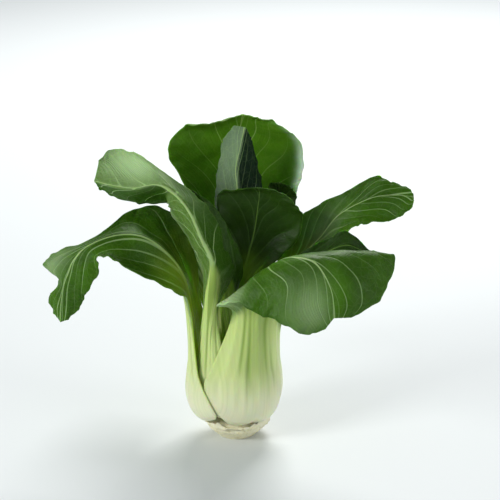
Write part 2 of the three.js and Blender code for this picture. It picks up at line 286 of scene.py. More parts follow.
@dataclass(frozen=True)
class LeafSpec:
    """One leaf, from the foot of its stalk to its tip.

    Args:
        name: Plain name of the leaf.
        azimuth: Side that the stalk stands on, in degrees from the front towards +X.
        half_span: Half the angle of the bulb that the stalk wraps, in degrees.
        depth: Steps into the spiral, 0 for the outermost.
        root: Height of the stalk's foot above the cut face.
        wave: Ripple of the margins.
        rows: Left margin, midrib, right margin, and how far each half arches.
        tuck: How far the left and the right edge of the stalk turn in.
        left_spans: Shares of the half span that the stalk's left edge reaches at its rows.
        right_spans: The same for its right edge.
        veins: Run of its lateral veins.
        rib: How broad its midrib is against the other leaves'.
        trough: How green the hollow up the middle of its stalk is.
        turns: Where its blade turns its deep green side out, which on some leaves also paints shade.
        painted_sheens: Pale patches of painted sheen on its blade.
        tone: How green its blade is, and what painted light and shade its finish carries.
    """

    name: str
    azimuth: float
    half_span: float
    depth: float
    root: float
    wave: Wave
    rows: tuple
    tuck: tuple = (0.0, 0.0)
    left_spans: tuple = BULB.spans
    right_spans: tuple = BULB.spans
    veins: VeinPattern = VeinPattern()
    rib: float = 1.0
    trough: float = 0.12
    turns: tuple = ()
    painted_sheens: tuple = ()
    tone: Tone = Tone.OUTER


LEAVES = (
    LeafSpec(
        name="left_leaf",
        azimuth=-100,
        half_span=54,
        depth=0,
        root=13.8,
        wave=Wave(1.2, 3, 1),
        tuck=(1.2, 1.5),
        left_spans=(0.95, 1.32, 1.19, 0.91, 0.7),
        rows=(
            ((-28, -17, 91), (-29, -6, 89), (-22, 6, 85), -0.8, -0.8),
            ((-33, -25, 100), (-31, -12, 108), (-24, 8, 111), -3, -3),
            ((-49, -34, 112), (-41, -15, 123), (-34, 10, 135), -4, -5),
            ((-64, -38, 122), (-54, -17, 133), (-50, 5, 145), -4, -6),
            ((-76, -38, 127), (-69, -20, 135), (-66, -2, 143), -3, -4),
            ((-81, -35, 125), (-85, -26, 131), (-83, -13, 131), -1, -1),
            ((-80, -32, 116), (-94, -29, 123), (-106, -15, 122), 1, 1),
            ((-84, -31, 107), (-98, -29, 114), (-115, -14, 114), 1.5, 2),
            ((-89, -29, 99), (-101, -28, 106), (-104, -21, 107.5), 1.5, 1),
            ((-93, -27, 91), (-103, -27, 94), (-110.5, -21, 95), 1, 0.5),
            ((-99, -25, 84), (-104, -25, 82), (-108, -22, 87), 0, 0),
        ),
        rib=1.8,
        # Painted sheen on the lobe near its tip
        painted_sheens=(PaintedSheen(11.6, 0.6, 1.0, 0.35, 0.5),),
    ),
    LeafSpec(
        name="front_leaf",
        azimuth=28,
        half_span=62,
        depth=0.7,
        root=13.6,
        wave=Wave(1.6, 2.5, 0),
        tuck=(1.5, 2.4),
        right_spans=(0.7, 0.81, 1.02, 1.08, 0.89),
        rows=(
            ((27, -16, 78), (13, -29, 86), (-2, -22, 87), -2.2, -2),
            ((36, -18, 99), (17, -33, 105), (-11.5, -36, 97), 0, 2),
            ((51, -22, 113), (22, -38, 122), (0, -51, 104), 3, 3.5),
            ((74, -25, 120), (31, -44, 129), (9, -58, 101), 4, 4),
            ((91, -31, 126), (43, -50, 129), (20, -62, 99), 4, 4),
            ((91, -41, 118), (50, -55, 123), (29, -65, 94), 4, 3),
            ((82, -52, 105), (55, -60, 112), (41, -66, 90), 3, 2),
            ((66, -60, 98), (56, -64, 99), (51, -66, 93), 0, 0),
        ),
        rib=2.6,
        trough=0.42,
        # Painted sheen low on the blade, and a stronger one on the small lobe at its right margin
        painted_sheens=(PaintedSheen(10.5, 0.55, 1.1, 0.4, 0.48), PaintedSheen(6.2, 1.0, 0.8, 0.36, 1.3)),
    ),
    LeafSpec(
        name="back_leaf",
        azimuth=175,
        half_span=54,
        depth=2,
        root=15.4,
        wave=Wave(2, 3.5, 1),
        rows=(
            ((-6, 22, 90), (0, 28, 86), (8, 22, 90), -1, -1),
            ((-17, 25, 113), (0, 33, 108), (21, 25, 112), -3, -3),
            ((-27, 27, 134), (0, 38, 129), (33, 27, 131), -4, -4),
            ((-32, 28, 153), (1, 40, 148), (38, 28, 151), -4, -4),
            ((-41, 27, 170), (2, 39, 165), (41, 29, 169), -3, -3),
            ((-37, 26, 183), (2, 36, 179), (35, 28, 183), -2, -2),
            ((-24, 26, 190), (3, 32, 190), (24, 27, 190), -1, -1),
            ((-8, 27, 191), (4, 29, 195), (15, 27, 194), 0, 0),
        ),
        # A near-white painted highlight along its right margin
        painted_sheens=(PaintedSheen(8.2, 0.98, 1.5, 0.07, 0.85),),
        tone=Tone.BACKLIT,
    ),
    LeafSpec(
        name="left_front_leaf",
        azimuth=-50,
        half_span=47,
        depth=2.4,
        root=15.8,
        wave=Wave(0.8, 3, 1),
        tuck=(2, 1),
        left_spans=(0.88, 0.9, 0.8, 0.72, 0.64),
        rows=(
            ((-11, -19, 88), (-15, -27, 94), (-19, -20, 92), -0.6, -0.5),
            ((-2, -17, 110), (-13, -31, 120), (-20, -18, 116), -2.5, -2),
            ((-7, -15, 126), (-19, -31, 135), (-28, -12, 130), -3, -3),
            ((-13, -14, 143), (-26, -29, 151), (-37, -6, 144), -3, -3),
            ((-24, -15, 158), (-34, -26, 161), (-40, 0, 148), -2, -2),
            ((-52, -16, 180), (-45, -24, 167), (-42, 1, 148), 1, 1),
            ((-63, -4, 181), (-59, -15, 162), (-57, 0, 149), 2, -1),
            ((-73, 6, 180), (-72, -10, 162), (-72, 3, 152), 2, -1),
            ((-81, 4, 173.5), (-83, -3, 163), (-81, 3, 157), 0, 0),
        ),
        veins=VeinPattern(count=8, sweep=0.22, bend=0.9),
        rib=0.45,
        # Its turned halves, darkened partly as painted shade where they face away from the light
        turns=(Turn(-1, 5.9, 9.5), Turn(1, 9.5, 14)),
        # Painted sheen on the upper half of its twisted tip, lit from above, and a painted highlight
        # along its right margin
        painted_sheens=(PaintedSheen(11.0, -0.6, 1.7, 0.5, 1.0), PaintedSheen(8.0, 1.0, 2.0, 0.14, 0.5)),
    ),
    LeafSpec(
        name="right_leaf",
        azimuth=90,
        half_span=49,
        depth=4,
        root=16.4,
        wave=Wave(0.8, 2, 0),
        rows=(
            ((19, 8, 95), (22, 2, 96), (27, -4, 97), -1, -1),
            ((28, 18, 112), (36, 8, 110), (44, -2, 110), -3, -3),
            ((38, 20, 132), (50, 10, 123), (60, 0, 123), -3, -3),
            ((52, 20, 143), (60, 11, 136), (68, 1, 132), -2, -2),
            ((69, 18, 152), (71, 10, 144), (78, 0, 136), -1, -2),
            ((84, 14, 161), (84, 8, 150), (91, 0, 137.5), 2, -2),
            ((94, 10, 158.5), (96, 6, 151.5), (100, 1, 141), 1, -1),
            ((102.5, 7, 156), (104, 5, 151), (105, 3, 145), 0.5, -0.5),
            ((106, 5.5, 152.5), (106.3, 5, 150.5), (106.3, 4.5, 148.5), 0, 0),
        ),
        veins=VeinPattern(count=8, sweep=0.34, bend=0.8),
        rib=0.8,
        # Painted light on the base of the blade, where the leaves beside it shade it
        painted_sheens=(PaintedSheen(7.3, -0.2, 0.9, 0.5, 0.32),),
    ),
    LeafSpec(
        name="back_left_leaf",
        azimuth=-132.5,
        half_span=56,
        depth=5,
        root=17,
        wave=Wave(2, 2.5, 0),
        rows=(
            ((-16, 3, 70), (-12, 11, 71), (-5, 15, 70), -1.2, -1.2),
            ((-24, 13, 88), (-18, 18, 89), (-11, 20, 87), -1, -1),
            ((-33, 22, 102), (-25, 31, 104), (-13, 37, 102), -3, -3),
            ((-54, 28, 110), (-40, 48, 113), (-17, 56, 110), -4, -4),
            ((-68, 38, 107), (-50, 62, 114), (-24, 73, 110), -3, -3),
            ((-74, 54, 97), (-58, 76, 106), (-36, 84, 101), -2, -2),
            ((-67, 76, 88), (-63, 83, 92), (-56, 86, 89), 0, 0),
        ),
    ),
    LeafSpec(
        name="inner_front_leaf",
        azimuth=5,
        half_span=38,
        depth=6,
        root=18,
        wave=Wave(0.8, 2, 0),
        rows=(
            ((0, -8, 90), (-5, -14, 92), (-10, -9, 90), -1, -1),
            ((4, -7, 109), (-4, -12, 113), (-14, -5, 112), -2, -2),
            ((-1, -7, 128), (-10, -11, 129), (-21, -1, 128), -2, -2),
            ((-10, -8, 144), (-18, -9, 144), (-30, 2, 141), -2, -2),
            ((-20, -7, 155), (-24, -5, 152), (-32, 3, 148), -1, -1),
            ((-26, -4, 158), (-28, -2, 156), (-31, 2, 154), 0, 0),
        ),
        tone=Tone.INNER,
    ),
    LeafSpec(
        name="inner_back_leaf",
        azimuth=142.5,
        half_span=52,
        depth=7,
        root=19,
        wave=Wave(1, 2, 0),
        rows=(
            ((8, 13, 97), (12, 16, 96), (15, 13, 97), -1, -1),
            ((9, 17, 119), (18, 22, 117), (26, 16, 119), -2, -2),
            ((16, 22, 137), (24, 27, 135), (34, 20, 137), -2, -2),
            ((19, 24, 149), (26, 26, 148), (36, 21, 147), -1, -1),
            ((21, 23, 154), (26, 23, 154), (32, 21, 153), 0, 0),
        ),
        tone=Tone.INNER,
    ),
    LeafSpec(
        name="folded_leaf",
        azimuth=-80,
        half_span=50,
        depth=8,
        root=20,
        wave=Wave(0.5, 2, 0),
        rows=(
            ((-9, 0, 91), (-12, 4, 90), (-9, 9, 89), -1, -1),
            ((6, 12, 116), (-3, 7, 116), (-9, 14, 114), -2, -2),
            ((13, 19, 136), (0.5, 5.5, 138), (-12, 16, 136), -3, -2),
            ((15, 23, 151), (1, 4.5, 154), (-12, 17, 152), -4, -2),
            ((12, 22, 168), (0, 4, 168), (-10, 16, 170), -4, -2),
            ((9, 17, 182), (2.5, 4, 181), (-6.5, 14, 184), -2, -1),
            ((7.5, 10, 189), (5, 7, 193), (-0.5, 11, 193), 0, 0),
        ),
        rib=0.6,
        # Its whole left half is painted in dark shade, turned away from the lamps
        turns=(Turn(-1, 5.7, 20),),
        tone=Tone.FOLDED,
    ),
    LeafSpec(
        name="inner_right_leaf",
        azimuth=57.5,
        half_span=50,
        depth=9,
        root=21,
        wave=Wave(1, 2, 0),
        rows=(
            ((19, -4, 95), (22, -9, 95), (24, -15, 96), -1, -1),
            ((34, -5, 115), (38, -11, 114), (40, -18, 112), -2, -2),
            ((53, -5, 127), (53, -10, 121), (56, -17, 116), -2, -2),
            ((65, -4, 132), (66, -9, 125), (68, -16, 117), -1, -2),
            ((77, -4, 123), (78, -8, 120), (78, -14, 116), -1, -1),
            ((84, -6, 120), (85, -8, 119), (84, -11, 116), 0, 0),
        ),
        tone=Tone.INNER,
    ),
    LeafSpec(
        name="centre_leaf",
        azimuth=-165,
        half_span=46,
        depth=10,
        root=22.2,
        wave=Wave(1, 2.5, 0),
        rows=(
            ((-2, -2, 94), (2, 1, 93), (7, -1, 94), -0.5, -0.5),
            ((-5, -2, 115), (7, 1, 114), (22, -2, 111), -2, -2),
            ((-9, -3, 133), (11, 2, 130), (36, -3, 126), -3, -3),
            ((-11, -3, 147), (13, 1, 145), (39, -5, 141), -2, -2),
            ((-9, -2, 156), (14, 0, 154), (34, -5, 150), -1, -1),
            ((2, -2, 157), (13, -2, 158), (23, -4, 158), 0, 0),
        ),
        tone=Tone.INNER,
    ),
    LeafSpec(
        name="heart_front_leaf",
        azimuth=-27.5,
        half_span=44,
        depth=11,
        root=23.4,
        wave=Wave(0.4, 2, 0),
        rows=(
            ((-1, -4, 76), (-4, -4, 78), (-6, -2, 76), -0.5, -0.5),
            ((-1, -5, 88), (-5, -4, 90), (-8, -1, 88), -1, -1),
            ((-1, -5, 98), (-5, -4, 100), (-9, 0, 98), -1, -1),
            ((-3, -4, 106), (-5, -3, 108), (-7, -1, 106), 0, 0),
        ),
        tone=Tone.INNER,
    ),
)


def smoothstep(low: float, high: float, value: np.ndarray) -> np.ndarray:
    """Rises smoothly from 0 at low to 1 at high."""
    t = np.clip((value - low) / (high - low), 0.0, 1.0)
    return t * t * (3.0 - 2.0 * t)


def unit(vectors: np.ndarray) -> np.ndarray:
    """Scales each row of an array to length 1."""
    return vectors / np.maximum(np.linalg.norm(vectors, axis=-1, keepdims=True), 1e-12)


def ripple(phase: np.ndarray, bend: np.ndarray, pull: float) -> np.ndarray:
    """A sine wave whose phase a second, slower wave pulls to and fro."""
    return np.sin(phase + pull * np.sin(bend))


def ring_waves(angle: float, waves: tuple) -> float:
    """Sums waves round the axis, each of a count, a phase and a height."""
    return sum(height * math.sin(count * angle + phase) for count, phase, height in waves)


@dataclass(frozen=True)
class StemFinish:
    """Colours and gloss of the cut stem.

    Args:
        flesh: Cream flesh of the cut.
        brown: Browned scars.
        fibre: Pale, dry fibres.
        roughness: Least and greatest roughness.
        glow: How much light goes into the flesh.
        glow_radius: How far each colour of it spreads.
        glow_scale: Scale of that spread, in metres.
        patch_scale: Scale of the browned patches.
        fibre_scale: Scale of the fibres.
        relief_height: Height of the fine relief, in metres.
    """

    flesh: tuple = (0.86, 0.82, 0.56, 1)
    brown: tuple = (0.58, 0.45, 0.20, 1)
    fibre: tuple = (0.93, 0.90, 0.74, 1)
    roughness: tuple = (0.5, 0.8)
    glow: float = 0.2
    glow_radius: tuple = (1.0, 0.8, 0.4)
    glow_scale: float = 0.002
    patch_scale: float = 260.0
    fibre_scale: float = 1500.0
    relief_height: float = 0.0006


@dataclass(frozen=True)
class StemBase:
    """The short stem with its flat cut face, which the stalks grow from, in millimetres.

    Args:
        foot_radius: Radius of the cut face.
        edge: Height and radius of its rounded edge.
        waist: Height and radius of the waist.
        collar: Height and radius of the collar over the waist.
        cone_radius: Radius of the foot of the cone that the stalks stand on.
        cone_foot: Height of that foot.
        cone_top: Height of the tip of the cone.
        sides: Faces round it.
        roughness: How rough the knife has left it.
        lobes: Count, phase and height of each wave round it.
        scars: Tilt and height of each leaf scar round it.
        torn_rim: Height of the torn skin all round its rim.
        tears: Count, phase and height of each wave of its torn edge.
        scales: Side in degrees, spread in degrees and height of each large torn scale.
        feet: Height and radius of the feet of the stalks that torn skin lies against.
        finish: Colours and gloss.
    """

    foot_radius: float = 11
    edge: tuple = (1.2, 12.8)
    waist: tuple = (6, 18)
    collar: tuple = (11, 21.2)
    cone_radius: float = 19.2
    cone_foot: float = 11.3
    cone_top: float = 27
    sides: int = 200
    roughness: float = 0.8
    lobes: tuple = ((3, 1, 1), (7, 2, 0.6), (19, 0, 0.5), (53, 2, 0.35))
    scars: tuple = ((0.22, 2.6), (0.35, 5.4), (0.5, 8.2))
    torn_rim: float = 1.4
    tears: tuple = ((5, 0.6, 0.3), (13, 2, 0.2), (29, 0.4, 0.22), (61, 0, 0.16))
    scales: tuple = ((72.0, 34.0, 6.0), (-31.0, 10.0, 4.0), (170.0, 50.0, 2.0))
    feet: tuple = ((12.0, 20.6), (14.0, 21.2), (17.0, 24.2), (20.0, 26.7))
    finish: StemFinish = StemFinish()

    def cone(self, height: float) -> float:
        """Radius of the cone at a height above the cut face."""
        return self.cone_radius * (self.cone_top - height) / (self.cone_top - self.cone_foot)

    def outline(self) -> list[tuple[float, float]]:
        """The stem's outline, from the middle of its cut face to the tip of its cone.

        Returns:
            Radius and height of each point.
        """
        foot = self.foot_radius
        rings = (
            (0, 0),
            (0, foot * 0.4),
            (0, foot * 0.8),
            (0, foot),
            (0.5, foot + 0.8),
            self.edge,
            (2.6, 14.4),
            (4.2, 16.0),
            self.waist,
            (8, 18.7),
            (9.6, 19.5),
            self.collar,
            (self.collar[0] + 0.25, self.collar[1] - 0.5),
            (self.cone_foot, self.cone_radius),
            *((height, self.cone(height)) for height in (14, 19, 23)),
            (self.cone_top, 0),
        )
        return [(radius, height) for height, radius in rings]

    def build(self) -> bpy.types.Object:
        """Turns the outline about the axis, and roughens it as a trimmed root is.

        Returns:
            The stem's object, at the origin, in metres.
        """
        turned = bmesh.new()
        chain = [turned.verts.new((radius, 0, height)) for radius, height in self.outline()]
        edges = [turned.edges.new(pair) for pair in zip(chain, chain[1:])]
        bmesh.ops.subdivide_edges(turned, edges=edges, cuts=2)
        bmesh.ops.spin(
            turned,
            geom=turned.verts[:] + turned.edges[:],
            cent=(0, 0, 0),
            axis=(0, 0, 1),
            angle=math.tau,
            steps=self.sides,
            use_merge=True,
        )
        bmesh.ops.remove_doubles(turned, verts=turned.verts[:], dist=1e-4)
        bmesh.ops.recalc_face_normals(turned, faces=turned.faces[:])
        for vert in turned.verts:
            self._roughen(vert)
        bmesh.ops.scale(turned, verts=turned.verts[:], vec=(MM, MM, MM))
        mesh = bpy.data.meshes.new("stem_base_dressed")
        turned.to_mesh(mesh)
        turned.free()
        mesh.shade_smooth()
        mesh.materials.append(self._material())
        piece = bpy.data.objects.new("stem_base_dressed", mesh)
        bpy.context.scene.collection.objects.link(piece)
        return piece

    def _roughen(self, vert: bmesh.types.BMVert) -> None:
        """Moves a vertex of the side as a knife and torn leaf bases leave the stem.

        Args:
            vert: The vertex, which stays where it is on the cut face and on the cone.
        """
        radius, height = math.hypot(vert.co.x, vert.co.y), vert.co.z
        if radius < self.foot_radius * 0.9 or height > self.cone_foot + 0.1:
            return
        angle = math.atan2(vert.co.y, vert.co.x)
        lobes = ring_waves(angle, self.lobes) + 0.5 * math.sin(31 * angle + 4 * height)
        notch = 0.0
        for tilt, level in self.scars:
            wandering = level + 0.7 * math.sin(2 * angle + 9 * tilt) + tilt * math.sin(5 * angle)
            notch += math.exp(-(((height - wandering) / 0.35) ** 2))
        side = min(1.0, height / self.edge[0])
        inset = self.roughness * (0.28 * (lobes + 2.6) + 0.9 * notch) * side
        vert.co.x *= 1 - inset / radius
        vert.co.y *= 1 - inset / radius
        self._tear(vert, angle)

    def _tear(self, vert: bmesh.types.BMVert, angle: float) -> None:
        """Draws the rim of the stem up into torn scales that lie against the feet of the stalks.

        Args:
            vert: A vertex of the side or of the rim.
            angle: Its angle about the axis, in radians.
        """
        radius, height = math.hypot(vert.co.x, vert.co.y), vert.co.z
        below_rim = 8.0
        rising = min(1.0, max(0.0, (height - below_rim) / (self.collar[0] - below_rim)))
        on_rim = min(1.0, max(0.0, radius - self.cone_radius - 0.6)) if rising == 1 else 1.0
        torn = 0.5 + ring_waves(angle, self.tears)
        reach = self.torn_rim * torn
        side = math.degrees(math.atan2(vert.co.x, -vert.co.y))
        for middle, spread, rise in self.scales:
            turn = (side - middle + 180) % 360 - 180
            reach += rise * math.exp(-((turn / spread) ** 2)) * (0.75 + 0.25 * torn)
        lift = reach * rising**1.5 * on_rim
        vert.co.z += lift
        if lift > 0.4:
            heights, radii = zip(*self.feet)
            clear = float(np.interp(vert.co.z, heights, radii)) + 0.3 * on_rim
            vert.co.x *= max(1.0, clear / radius)
            vert.co.y *= max(1.0, clear / radius)

    def _material(self) -> bpy.types.Material:
        """Cream flesh with browned scars and a rough, dry cut.

        Returns:
            The material.
        """
        finish = self.finish
        material, nodes, shader = new_material("Cut stem")
        place = nodes.add("TexCoord").outputs["Object"]
        patches = nodes.noise(place, finish.patch_scale, 5.0, 0.65)
        colour = nodes.mix(nodes.ramp(patches, 0.54, 0.76), finish.flesh, finish.brown)
        upright = nodes.stretch(place, (1.0, 1.0, 0.2))
        fibres = nodes.noise(upright, finish.fibre_scale, 3.0)
        colour = nodes.mix(nodes.ramp(fibres, 0.4, 0.7, 0.0, 0.4), colour, finish.fibre)
        nodes.feed(shader.inputs["Base Color"], colour)
        nodes.feed(shader.inputs["Roughness"], nodes.ramp(patches, 0.2, 0.8, *finish.roughness))
        nodes.glow(shader, finish.glow, finish.glow_radius, finish.glow_scale)
        nodes.bump(shader, nodes.math("ADD", patches, fibres), 0.8, finish.relief_height)
        return material


STEM = StemBase()


@dataclass
class LeafSheet:
    """The middle surface of a leaf and its thickness, over a fractional row and a place across.

    Args:
        spec: The leaf.
        layer: Its place in the spiral, 0 for the outermost.
    """

    spec: LeafSpec
    layer: int

    def __post_init__(self) -> None:
        """Works out the leaf's rows, and how full its stalk is at its place in the spiral."""
        self.rows = np.array(self._bulb_rows() + self._blade_rows(), dtype=float)
        self.last = len(self.rows) - 1
        self.seed = self.layer * SEED_STEP
        side = BULB.radius(BULB.widest_height) - self.spec.depth * BULB.layer_step
        self.share = min(1.0, side / BULB.full_stalk_radius)

    def _arc_row(
        self, spans: tuple, radius: float, height: float, tuck: tuple = (0.0, 0.0)
    ) -> list[float]:
        """A row inside the bulb: an arc about the axis, from its left edge to its right one.

        Args:
            spans: Shares of the half span reached to the left and to the right.
            radius: Distance from the axis.
            height: Height above the cut face.
            tuck: How far the left and the right edge turn in.

        Returns:
            The row's left edge, middle and right edge, and the arch and the tuck of each side.
        """
        left, right = (math.radians(self.spec.half_span * span) for span in spans)
        points: list[float] = []
        for turn in (left, 0.0, -right):
            angle = math.radians(self.spec.azimuth) + turn
            points += [radius * math.sin(angle), -radius * math.cos(angle), height]
        arches = [
            radius * ((1 + math.cos(angle)) / 2 - math.sqrt(1 - (math.sin(angle) / 2) ** 2))
            for angle in (left, right)
        ]
        return [*points, *arches, *tuck]

    def _bulb_rows(self) -> list[list[float]]:
        """The rows from the stalk's foot to the top of the bulb.

        Returns:
            The values of each row.
        """
        spec = self.spec
        spans = list(zip(spec.left_spans, spec.right_spans))
        radius = STEM.cone(spec.root) + BULB.fit_gap + FLESH.stalk_middle[0]
        rows = [self._arc_row(spans[0], radius, spec.root)]
        for (height, rise, inset), span in zip(BULB.rows, spans[1:]):
            z = height + rise * spec.depth
            radius = BULB.radius(z) - spec.depth * BULB.layer_step * inset
            rows.append(self._arc_row(span, radius, z, spec.tuck))
        return rows

    def _blade_rows(self) -> list[list[float]]:
        """The rows from the neck of the leaf to its tip."""
        return [[*left, *rib, *right, a, b, 0, 0] for left, rib, right, a, b in self.spec.rows]

    def along(self, at: np.ndarray) -> np.ndarray:
        """All values of the rows at fractional rows, on a smooth curve through the given ones.

        Args:
            at: Fractional rows.

        Returns:
            The values of each.
        """
        rows, last = self.rows, self.last
        padded = np.vstack([2 * rows[0] - rows[1], rows, 2 * rows[-1] - rows[-2]])
        index = np.clip(np.floor(at).astype(int), 0, last - 1)
        t = (at - index)[:, None]
        a, b, c, d = (padded[index + k] for k in range(4))
        return 0.5 * (
            2 * b + (c - a) * t + (2 * a - 5 * b + 4 * c - d) * t**2 + (3 * b - a - 3 * c + d) * t**3
        )

    def point(self, at: np.ndarray, across: np.ndarray) -> np.ndarray:
        """Points of the sheet.

        Args:
            at: Fractional rows.
            across: Places across, from -1 at the left margin to 1 at the right one.

        Returns:
            One point for each pair, in millimetres.
        """
        values = self.along(at)
        step = 0.01
        before = self.along(np.clip(at - step, 0, self.last))[:, MIDRIB]
        after = self.along(np.clip(at + step, 0, self.last))[:, MIDRIB]
        rib = values[:, MIDRIB]
        face = unit(np.cross(values[:, RIGHT_EDGE] - values[:, LEFT_EDGE], after - before))
        left = across < 0
        margin = np.where(left[:, None], values[:, LEFT_EDGE], values[:, RIGHT_EDGE])
        arch = np.where(left, values[:, LEFT_ARCH], values[:, RIGHT_ARCH])
        tuck = np.where(left, values[:, LEFT_TUCK], values[:, RIGHT_TUCK])
        a = np.abs(across)
        t = np.clip(self.blade_share(at), 0, 1)
        wave = self.spec.wave
        fade = np.minimum(1, 3 * t) * np.minimum(1, 0.3 + 6 * (1 - t))
        turn = np.sin(2 * math.pi * wave.count * t + wave.phase) * np.where(left, 1, -0.8)
        lift = 4 * arch * a * (1 - a) + tuck * a**BULB.tuck_turn + wave.height * a**2 * turn * fade
        return rib + (margin - rib) * a[:, None] + face * lift[:, None]

    def normal(self, at: np.ndarray, across: np.ndarray) -> np.ndarray:
        """Unit normals of the sheet, towards the face that looks into the head.

        Args:
            at: Fractional rows.
            across: Places across.

        Returns:
            One normal for each pair.
        """
        step = 0.02
        low, high = np.clip(at - step, 0, self.last), np.clip(at + step, 0, self.last)
        along = self.point(high, across) - self.point(low, across)
        left, right = np.clip(across - step, -1, 1), np.clip(across + step, -1, 1)
        over = self.point(at, right) - self.point(at, left)
        return unit(np.cross(over, along))

    def blade_share(self, at: np.ndarray) -> np.ndarray:
        """How far along the blade a row is: 0 at the neck, 1 at the tip, below 0 on the stalk."""
        return (at - FLESH.blade_start) / (self.last - FLESH.blade_start)

    def half_width(self, at: np.ndarray, across: np.ndarray) -> np.ndarray:
        """Distance from the midrib to the margin on the side of each place.

        Args:
            at: Fractional rows.
            across: Places across.

        Returns:
            The distances, in millimetres.
        """
        values = self.along(at)
        margin = np.where((across < 0)[:, None], values[:, LEFT_EDGE], values[:, RIGHT_EDGE])
        return np.linalg.norm(margin - values[:, MIDRIB], axis=1)

    def midrib(self, first: float, count: int) -> tuple[np.ndarray, np.ndarray]:
        """Lengths along the midrib, from a row to the tip.

        Args:
            first: The row that they start from.
            count: How many rows to measure at.

        Returns:
            The rows, and the length from the first of them to each, in millimetres.
        """
        at = np.linspace(first, self.last, count)
        steps = np.linalg.norm(np.diff(self.along(at)[:, MIDRIB], axis=0), axis=1)
        return at, np.concatenate([[0], np.cumsum(steps)])

    def rib_length(self) -> float:
        """Length of the blade along its midrib."""
        return float(self.midrib(FLESH.blade_start, 60)[1][-1])

    def thickness(self, at: np.ndarray, across: np.ndarray, offset: np.ndarray) -> np.ndarray:
        """Thickness of the leaf: a crescent in the stalk and a thin sheet with a rib in the blade.

        Args:
            at: Fractional rows.
            across: Distances across, from 0 at the midrib to 1 at a margin.
            offset: The same in millimetres.

        Returns:
            The thicknesses, in millimetres.
        """
        middle = np.interp(at, np.arange(len(FLESH.stalk_middle)), FLESH.stalk_middle) * self.share
        middle = np.maximum(middle, FLESH.stalk_edge)
        crescent = FLESH.stalk_edge + (middle - FLESH.stalk_edge) * (1 - across**FLESH.stalk_crown)
        taper = 1.1 - 0.75 * np.clip(self.blade_share(at), 0, 1)
        rib = np.exp(-((offset / (FLESH.rib_half_width * taper)) ** 2))
        sheet = FLESH.blade + np.maximum(middle - FLESH.blade, 0) * rib
        blend = smoothstep(FLESH.blade_start - 0.9, FLESH.blade_start + 0.5, at)
        return crescent * (1 - blend) + sheet * blend


